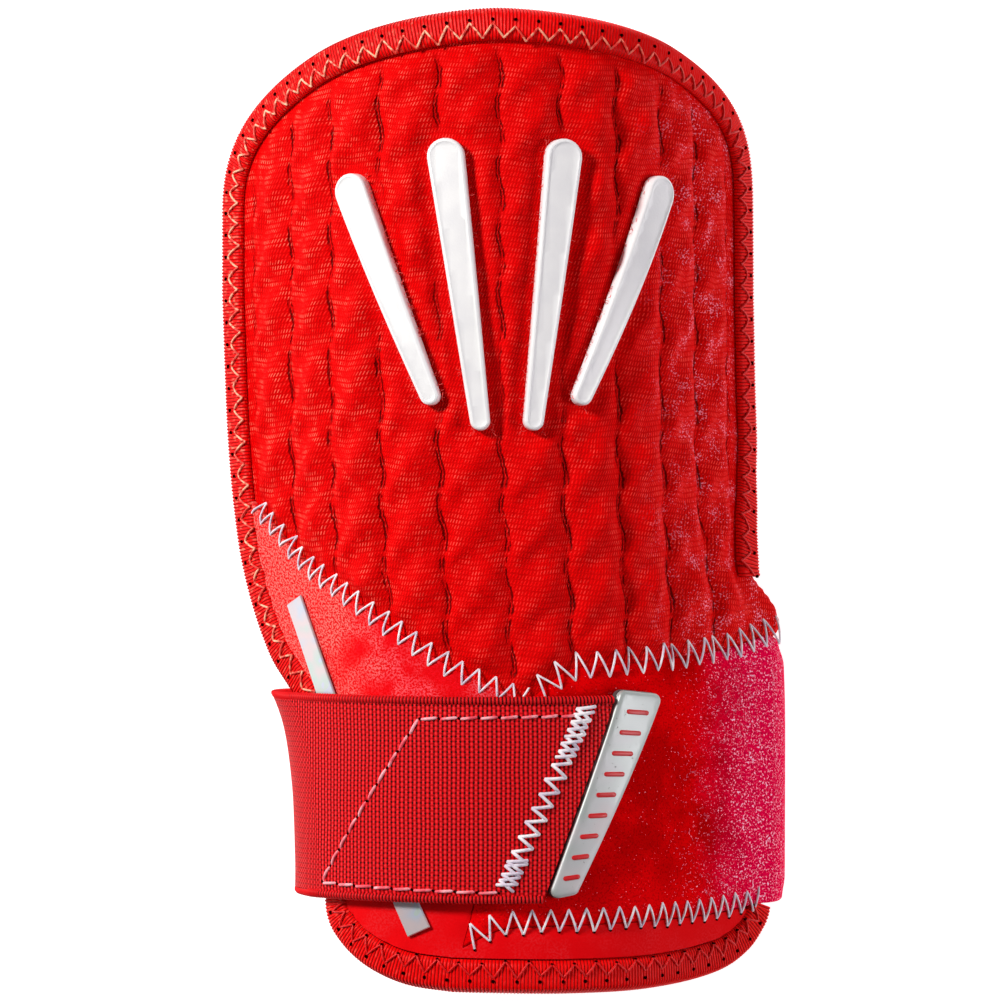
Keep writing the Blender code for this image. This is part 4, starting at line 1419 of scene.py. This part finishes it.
def tab_plate(finish, wall):
    """The hard slanted tab: a silver plate with rounded edges on a dark body."""
    bm = bmesh.new()
    outline = rounded_polygon(TAB_CORNERS, TAB_CORNER)
    body = raised(bm, [polygon(bm, outline, TAB_BASE)], TAB_THICKNESS * 0.45)
    ledge = bmesh.ops.inset_region(bm, faces=body, thickness=0.00012)["faces"]
    cap = raised(bm, body, TAB_THICKNESS * 0.55 - TAB_EDGE)
    wall_faces = [face for face in bm.faces if face not in cap and face not in body]
    rounded_cap(bm, cap, TAB_EDGE, TAB_ROUND)
    bmesh.ops.recalc_face_normals(bm, faces=bm.faces)
    for face in wall_faces + ledge:
        if face.is_valid and face.calc_center_median().z < TAB_BASE + TAB_THICKNESS * 0.46:
            face.material_index = 1
    cut_up(bm, 0.0015)
    plate = made("tab_plate", bm, finish, sharp=40)
    plate.data.materials.append(wall.material)
    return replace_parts(plate, "pull_tab")


def tab_grips(finish):
    """Nine plain bars across the tab."""
    foot_left, foot_right, top_right, top_left = TAB_CORNERS
    bm = bmesh.new()
    for k in range(GRIPS):
        share = (k + 1.0) / (GRIPS + 1)
        left = foot_left.lerp(top_left, share)
        right = foot_right.lerp(top_right, share)
        start, end = left.lerp(right, 0.26), left.lerp(right, 0.76)
        along = (end - start).normalized()
        up = Vector((-along.y, along.x)) * GRIP_HALF
        bar = rounded_polygon([start - up, end - up, end + up, start + up], 0.0004, 3)
        cap = raised(bm, [polygon(bm, bar, TAB_BASE + TAB_THICKNESS - 0.0001)], 0.00016)
        bmesh.ops.inset_region(bm, faces=cap, thickness=0.0001, depth=0.00006)
    bmesh.ops.recalc_face_normals(bm, faces=bm.faces)
    cut_up(bm, 0.002)
    return made("tab_grips", bm, finish, sharp=40)


def white_rib(name, row, finish):
    """A moulded rib along a hand bone: tapered, round-ended, its top dished inside a rounded rim."""
    foot, head = rib_ends(row)
    along = (head - foot).normalized()
    side = Vector((along.y, -along.x))
    points = []
    for centre, radius, start in ((head, RIB_HEAD_RADIUS, 0.0), (foot, RIB_FOOT_RADIUS, pi)):
        for step in range(13):
            angle = start + pi * step / 12
            points.append(centre + radius * (side * cos(angle) + along * sin(angle)))
    bm = bmesh.new()
    cap = raised(bm, [polygon(bm, points, CLEARANCE)], RIB_HEIGHT - RIB_EDGE)
    rounded_cap(bm, cap, RIB_EDGE, RIB_ROUND)
    bmesh.ops.inset_region(bm, faces=cap, thickness=RIB_EDGE * 0.5, depth=-RIB_DISH)
    bmesh.ops.recalc_face_normals(bm, faces=bm.faces)
    cut_up(bm, 0.0012)
    rib = made(name, bm, finish, sharp=38)
    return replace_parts(rib, name.replace("white_", ""))


def threads(name, runs, radius, finish, sides=2):
    """Round threads along runs of places."""
    curve = bpy.data.curves.new(name, "CURVE")
    curve.dimensions = "3D"
    curve.bevel_depth = radius
    curve.bevel_resolution = sides
    curve.use_fill_caps = True
    for run in runs:
        spline = curve.splines.new("POLY")
        spline.points.add(len(run) - 1)
        for point, place in zip(spline.points, run):
            point.co = (*(place + SHIFT), 1)
    shape = bpy.data.objects.new(name, curve)
    bpy.context.scene.collection.objects.link(shape)
    seen = bpy.context.evaluated_depsgraph_get()
    mesh = bpy.data.meshes.new_from_object(shape.evaluated_get(seen))
    bpy.data.objects.remove(shape)
    bpy.data.curves.remove(curve)
    mesh.name = name
    mesh.materials.clear()
    return linked(name, mesh, finish)


def taut(heights):
    """The same heights, drawn straight over each dip like a tight thread."""
    count = len(heights)
    return [max(heights[i] + (heights[j] - heights[i]) * (k - i) / max(j - i, 1)
                for i in range(k + 1) for j in range(k, count)) for k in range(count)]


def leg(start, end, radius, lift, surface):
    """One stitch from needle hole to needle hole, over a surface of the given height."""
    spots = [start.lerp(end, step / LEG_STEPS) for step in range(LEG_STEPS + 1)]
    heights = taut([surface(*spot) for spot in spots])
    run = []
    for step, (spot, height) in enumerate(zip(spots, heights)):
        share = step / LEG_STEPS
        arch = sqrt(sin(pi * share)) if 0 < step < LEG_STEPS else 0.0
        run.append(form(*spot, height + radius * (arch * 1.5 - 0.9) + lift * sin(pi * share)))
    return run


def zigzag(line, pitch, reach_in, reach_out, surface, radius, seed, uneven=0.05, hole_out=0.0):
    """Legs of a zigzag along a flat line, and its two rows of needle holes, the outer row first."""
    length = length_of(line)
    per_pitch = 12
    steps = per_pitch * round(length / pitch)
    points = evenly(line, length / steps * 1.0001)
    sway = Random(seed)
    inner, outer, far = [], [], []
    for k in range(0, steps, per_pitch):
        out = outward(points, k)
        outer.append(points[k] + out * (reach_out + sway.uniform(-1, 1) * pitch * uneven))
        far.append(points[k] + out * (reach_out + hole_out))
        half = k + per_pitch // 2
        out = outward(points, half)
        inner.append(points[half] - out * (reach_in + sway.uniform(-1, 1) * pitch * uneven))
    ends = list(zip(outer, inner)) + list(zip(inner, outer[1:]))
    runs = [leg(start, end, radius, radius * 0.6, surface) for start, end in ends]
    return runs, [[(spot.x, spot.y, surface(*spot)) for spot in row] for row in (far, inner)]


def over_seam(line, below, above):
    """Height of the surface across a seam, from the heights of the cloths on its two sides."""
    def height(u, v):
        beyond = v - seam_height(line, u)
        share = ease((beyond - 0.0006) / 0.0028 + 0.5)
        return below(-beyond) * (1 - share) + above(beyond) * share + quilt_height(u, v)
    return height


def topstitch_runs():
    """Dashes along the top, down the slant and back along the foot, with a needle hole in each gap."""
    runs, holes = [], []
    for start, end in zip(TOPSTITCH_LINE, TOPSTITCH_LINE[1:]):
        count = round((end - start).length / TOPSTITCH_PITCH)
        side = Vector((start.y - end.y, end.x - start.x)).normalized() * 0.00012
        for k in range(count):
            a, b = start.lerp(end, (k + 0.08) / count), start.lerp(end, (k + 0.88) / count)
            runs.append(leg(a - side, b + side, TOPSTITCH_THREAD, 0.00012, strap_surface))
            hole = start.lerp(end, (k + 0.98) / count)
            holes.append((*hole, strap_surface(*hole)))
    return runs, holes


def tack_runs():
    """The bar tack: a zigzag along the strap's end, doubled at both ends."""
    top, foot = on_strap(*TACK_TOP), on_strap(*TACK_FOOT)
    sway = Random(3)
    down = (foot - top)
    length = down.length
    down.normalize()
    runs = []
    for start, end, step, slip in TACK_RUNS:
        place = start * length + slip * step
        level = 0.0002 + 0.0001 * (slip > 0)

        def surface(u, v, level=level):
            return strap_surface(u, v) + level

        side = 1
        last = None
        while place < end * length:
            middle = top + down * place
            half = TACK_WIDTH / 2 * (1 + sway.uniform(-0.06, 0.06))
            here = Vector((middle.x + side * half + sway.uniform(-1, 1) * 0.00008,
                           middle.y + sway.uniform(-1, 1) * 0.00012))
            if last:
                runs.append(leg(last, here, TACK_THREAD, 0.0002, surface))
            last = here
            place += step * (0.12 if side > 0 else 0.88)
            side = -side
    return runs


def stubs(holes):
    """A short upright run in each needle hole."""
    return [[form(u, v, w - 0.0003), form(u, v, w + 0.00008)] for u, v, w in holes]


def hairs(count, seed, spot_at, length, curl):
    """Loose fibres: short bent runs from flat places."""
    sway = Random(seed)
    runs = []
    for _ in range(count):
        u, v, w = spot_at(sway)
        turn = sway.uniform(0, 2 * pi)
        size = length * sway.uniform(0.5, 1.3)
        run = []
        for step in range(3):
            turn += sway.uniform(-curl, curl)
            run.append(form(u, v, w + size * 0.22 * step * sway.uniform(0.3, 1.0)))
            u += cos(turn) * size / 2
            v += sin(turn) * size / 2
        runs.append(run)
    return runs


def beside_rib(sway):
    """A place on the cut knit edge round a rib."""
    foot, head = rib_ends(sway.choice(RIBS))
    share = sway.uniform(-0.05, 1.05)
    side = (head - foot).normalized().orthogonal() * sway.choice((-1, 1))
    radius = RIB_FOOT_RADIUS + (RIB_HEAD_RADIUS - RIB_FOOT_RADIUS) * min(max(share, 0.0), 1.0)
    return *(foot.lerp(head, share) + side * radius), sway.uniform(0.0004, 0.0014)


def on_band(sway):
    """A place on the velour, more often towards the right."""
    u = 0.030 + 0.023 * sway.random() ** 0.6
    foot, top = seam_height(LOWER_SEAM_LINE, u), seam_height(RIGHT_SEAM_LINE, u)
    return u, sway.uniform(foot + 0.003, top - 0.003), BAND_TOP - 0.0001


def floor_piece():
    """A wide pale floor."""
    bm = bmesh.new()
    bmesh.ops.create_grid(bm, x_segments=8, y_segments=8, size=3.0)
    mesh = bpy.data.meshes.new("floor")
    bm.to_mesh(mesh)
    bm.free()
    floor_object = bpy.data.objects.new("floor", mesh)
    bpy.context.scene.collection.objects.link(floor_object)
    finish = Finish("pale_floor", roughness=0.9, base_color=(0.70, 0.70, 0.70),
                    emission_color=WHITE, emission_strength=0.80)
    mesh.materials.append(finish.material)
    floor_object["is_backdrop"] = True


def soft_light(name, direction, size, power, colour):
    """A square softbox that faces the guard."""
    data = bpy.data.lights.new(name, "AREA")
    data.shape = "SQUARE"
    data.size = size
    data.energy = power
    data.color = colour
    lamp = bpy.data.objects.new(name, data)
    lamp.location = Vector(direction).normalized() * LIGHT_DISTANCE + Vector((0, 0, 0.03))
    lamp.rotation_mode = "QUATERNION"
    lamp.rotation_quaternion = Vector(direction).to_track_quat("Z", "Y")
    bpy.context.scene.collection.objects.link(lamp)


def studio():
    """Key from the upper left, a pinkish fill from the right, and a pale surround."""
    for row in LIGHTS:
        soft_light(*row)
    world = bpy.data.worlds.new("pale_surround")
    world.use_nodes = True
    background = world.node_tree.nodes["Background"].inputs
    background["Color"].default_value = (*WHITE, 1.0)
    background["Strength"].default_value = SURROUND
    bpy.context.scene.world = world
    bpy.context.scene.view_settings.view_transform = "Standard"


def photo_camera():
    """A long lens above the guard, leaning a little to the left."""
    lean = radians(CAMERA_LEAN)
    target = Vector((-0.0028, -0.0002, SHIFT.z))
    back = Vector((-sin(lean), 0, cos(lean)))
    data = bpy.data.cameras.new("photo_camera")
    data.sensor_width = 36.0
    data.lens = CAMERA_LENS
    camera = bpy.data.objects.new("photo_camera", data)
    camera.location = target + back * CAMERA_DISTANCE
    turn = Matrix(((cos(lean), 0, back.x), (0, 1, 0), (sin(lean), 0, back.z)))
    camera.rotation_mode = "QUATERNION"
    camera.rotation_quaternion = turn.to_quaternion()
    bpy.context.scene.collection.objects.link(camera)
    bpy.context.scene.camera = camera


def pad_level(distance):
    return 0.0


def panel_level(distance):
    return PANEL_TOP


def tape_level(u, v):
    return TAPE_TOP


def band_level(edge):
    """The wrist band's height at a distance in from a seam, for the thickness of its edge there."""
    def height(distance):
        return CLEARANCE + band_rise(max(distance, 0.0), edge)
    return height


SEAMS = (
    # name, line, pitch, reach in, reach out, height below, height above
    ("left", LEFT_SEAM_LINE, 0.0033, 0.0018, 0.0020, panel_level, pad_level),
    ("right", RIGHT_SEAM_LINE, 0.0036, 0.0020, 0.0028, band_level(BAND_TOP_EDGE), pad_level),
    ("lower", LOWER_SEAM_LINE, 0.0032, 0.0012, 0.0030, panel_level, band_level(BAND_LOW_EDGE)),
)


def stitches():
    """Seams, the tape's zigzag, the topstitch, near-black stubs as painted shade in their needle holes, and
    the bar tack.
    """
    pale = thread_finish("pale_thread", PALE_THREAD, (0.66, 0.58, 0.70))
    pink = thread_finish("pink_thread", (0.96, 0.42, 0.47), (0.86, 0.08, 0.12))
    # Near-black finish: painted shade in the needle holes
    dark = mottled_finish("needle_hole", 900.0, 1.0, (0.004, 0.0, 0.0), (0.020, 0.001, 0.001),
                          roughness=0.9, specular_ior_level=0.0)
    for k, (name, line, pitch, reach_in, reach_out, below, above) in enumerate(SEAMS):
        surface = over_seam(line, below, above)
        room = TAPE_ARM if name == "left" else 0.0
        line = [point for point in line if edge_distance(*point) > room]
        runs, tips = zigzag(line[::-1], pitch, reach_in, reach_out, surface, SEAM_THREAD, k)
        threads(name + "_seam_threads", runs, SEAM_THREAD, pale)
    holes = tips[1]
    runs, tips = zigzag(TAPED, BINDING_PITCH, BINDING_IN, BINDING_OUT, tape_level, BINDING_THREAD, 6,
                        uneven=0.10, hole_out=TAPE_HOLE_OUT)
    threads("binding_threads", runs, BINDING_THREAD, binding_thread_finish())
    holes += [tip for tip in tips[1] if tip[1] < 0.020 and tip[0] > -0.030]
    threads("tape_holes", stubs(tips[0]), TAPE_HOLE, dark)
    runs, tips = topstitch_runs()
    threads("topstitch", runs, TOPSTITCH_THREAD, pink)
    threads("needle_holes", stubs(holes + tips), NEEDLE_HOLE, dark)
    threads("bar_tack", tack_runs(), TACK_THREAD, pale)


def dress():
    """All the pieces in their finishes."""
    photo_camera()
    studio()
    floor_piece()
    pad_cover(knit_finish())
    binding_tape(tape_finish())
    side_cloth(side_cloth_finish())
    pearly_stripe(pearl_finish())
    velour_band(velour_finish())
    elastic_web(elastic_finish())
    edge = roll_finish()
    rolled_edge("elastic_upper_edge", STRAP_FOOT + STRAP_WIDTH - STRAP_THICKNESS / 2, edge)
    rolled_edge("elastic_lower_edge", STRAP_FOOT + STRAP_THICKNESS / 2, edge)
    tab_plate(silver_finish(), mottled_finish("tab_wall", 700.0, 2.0, (0.030, 0.024, 0.024),
                                              (0.11, 0.09, 0.09), roughness=0.45))
    tab_grips(mottled_finish("grip_red", 900.0, 2.0, (0.52, 0.002, 0.006), (0.66, 0.006, 0.010),
                             roughness=0.4))
    white = rib_finish()
    for k, row in enumerate(RIBS):
        white_rib("white_rib_%d" % (k + 1), row, white)
    stitches()
    red_fibre = thread_finish("red_fibre", (0.70, 0.004, 0.006), (0.92, 0.10, 0.09))
    threads("rib_fibres", hairs(900, 21, beside_rib, 0.0009, 0.8), FIBRE, red_fibre, sides=0)
    pink_fibre = thread_finish("pink_fibre", (0.95, 0.30, 0.50), (0.72, 0.004, 0.05))
    threads("velour_fibres", hairs(1200, 22, on_band, 0.0004, 0.9), FIBRE * 0.8, pink_fibre, sides=0)


dress()

boxes = {"cad": cad_box, "visual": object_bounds()}
{name: [list(corner) for corner in box] for name, box in boxes.items()}
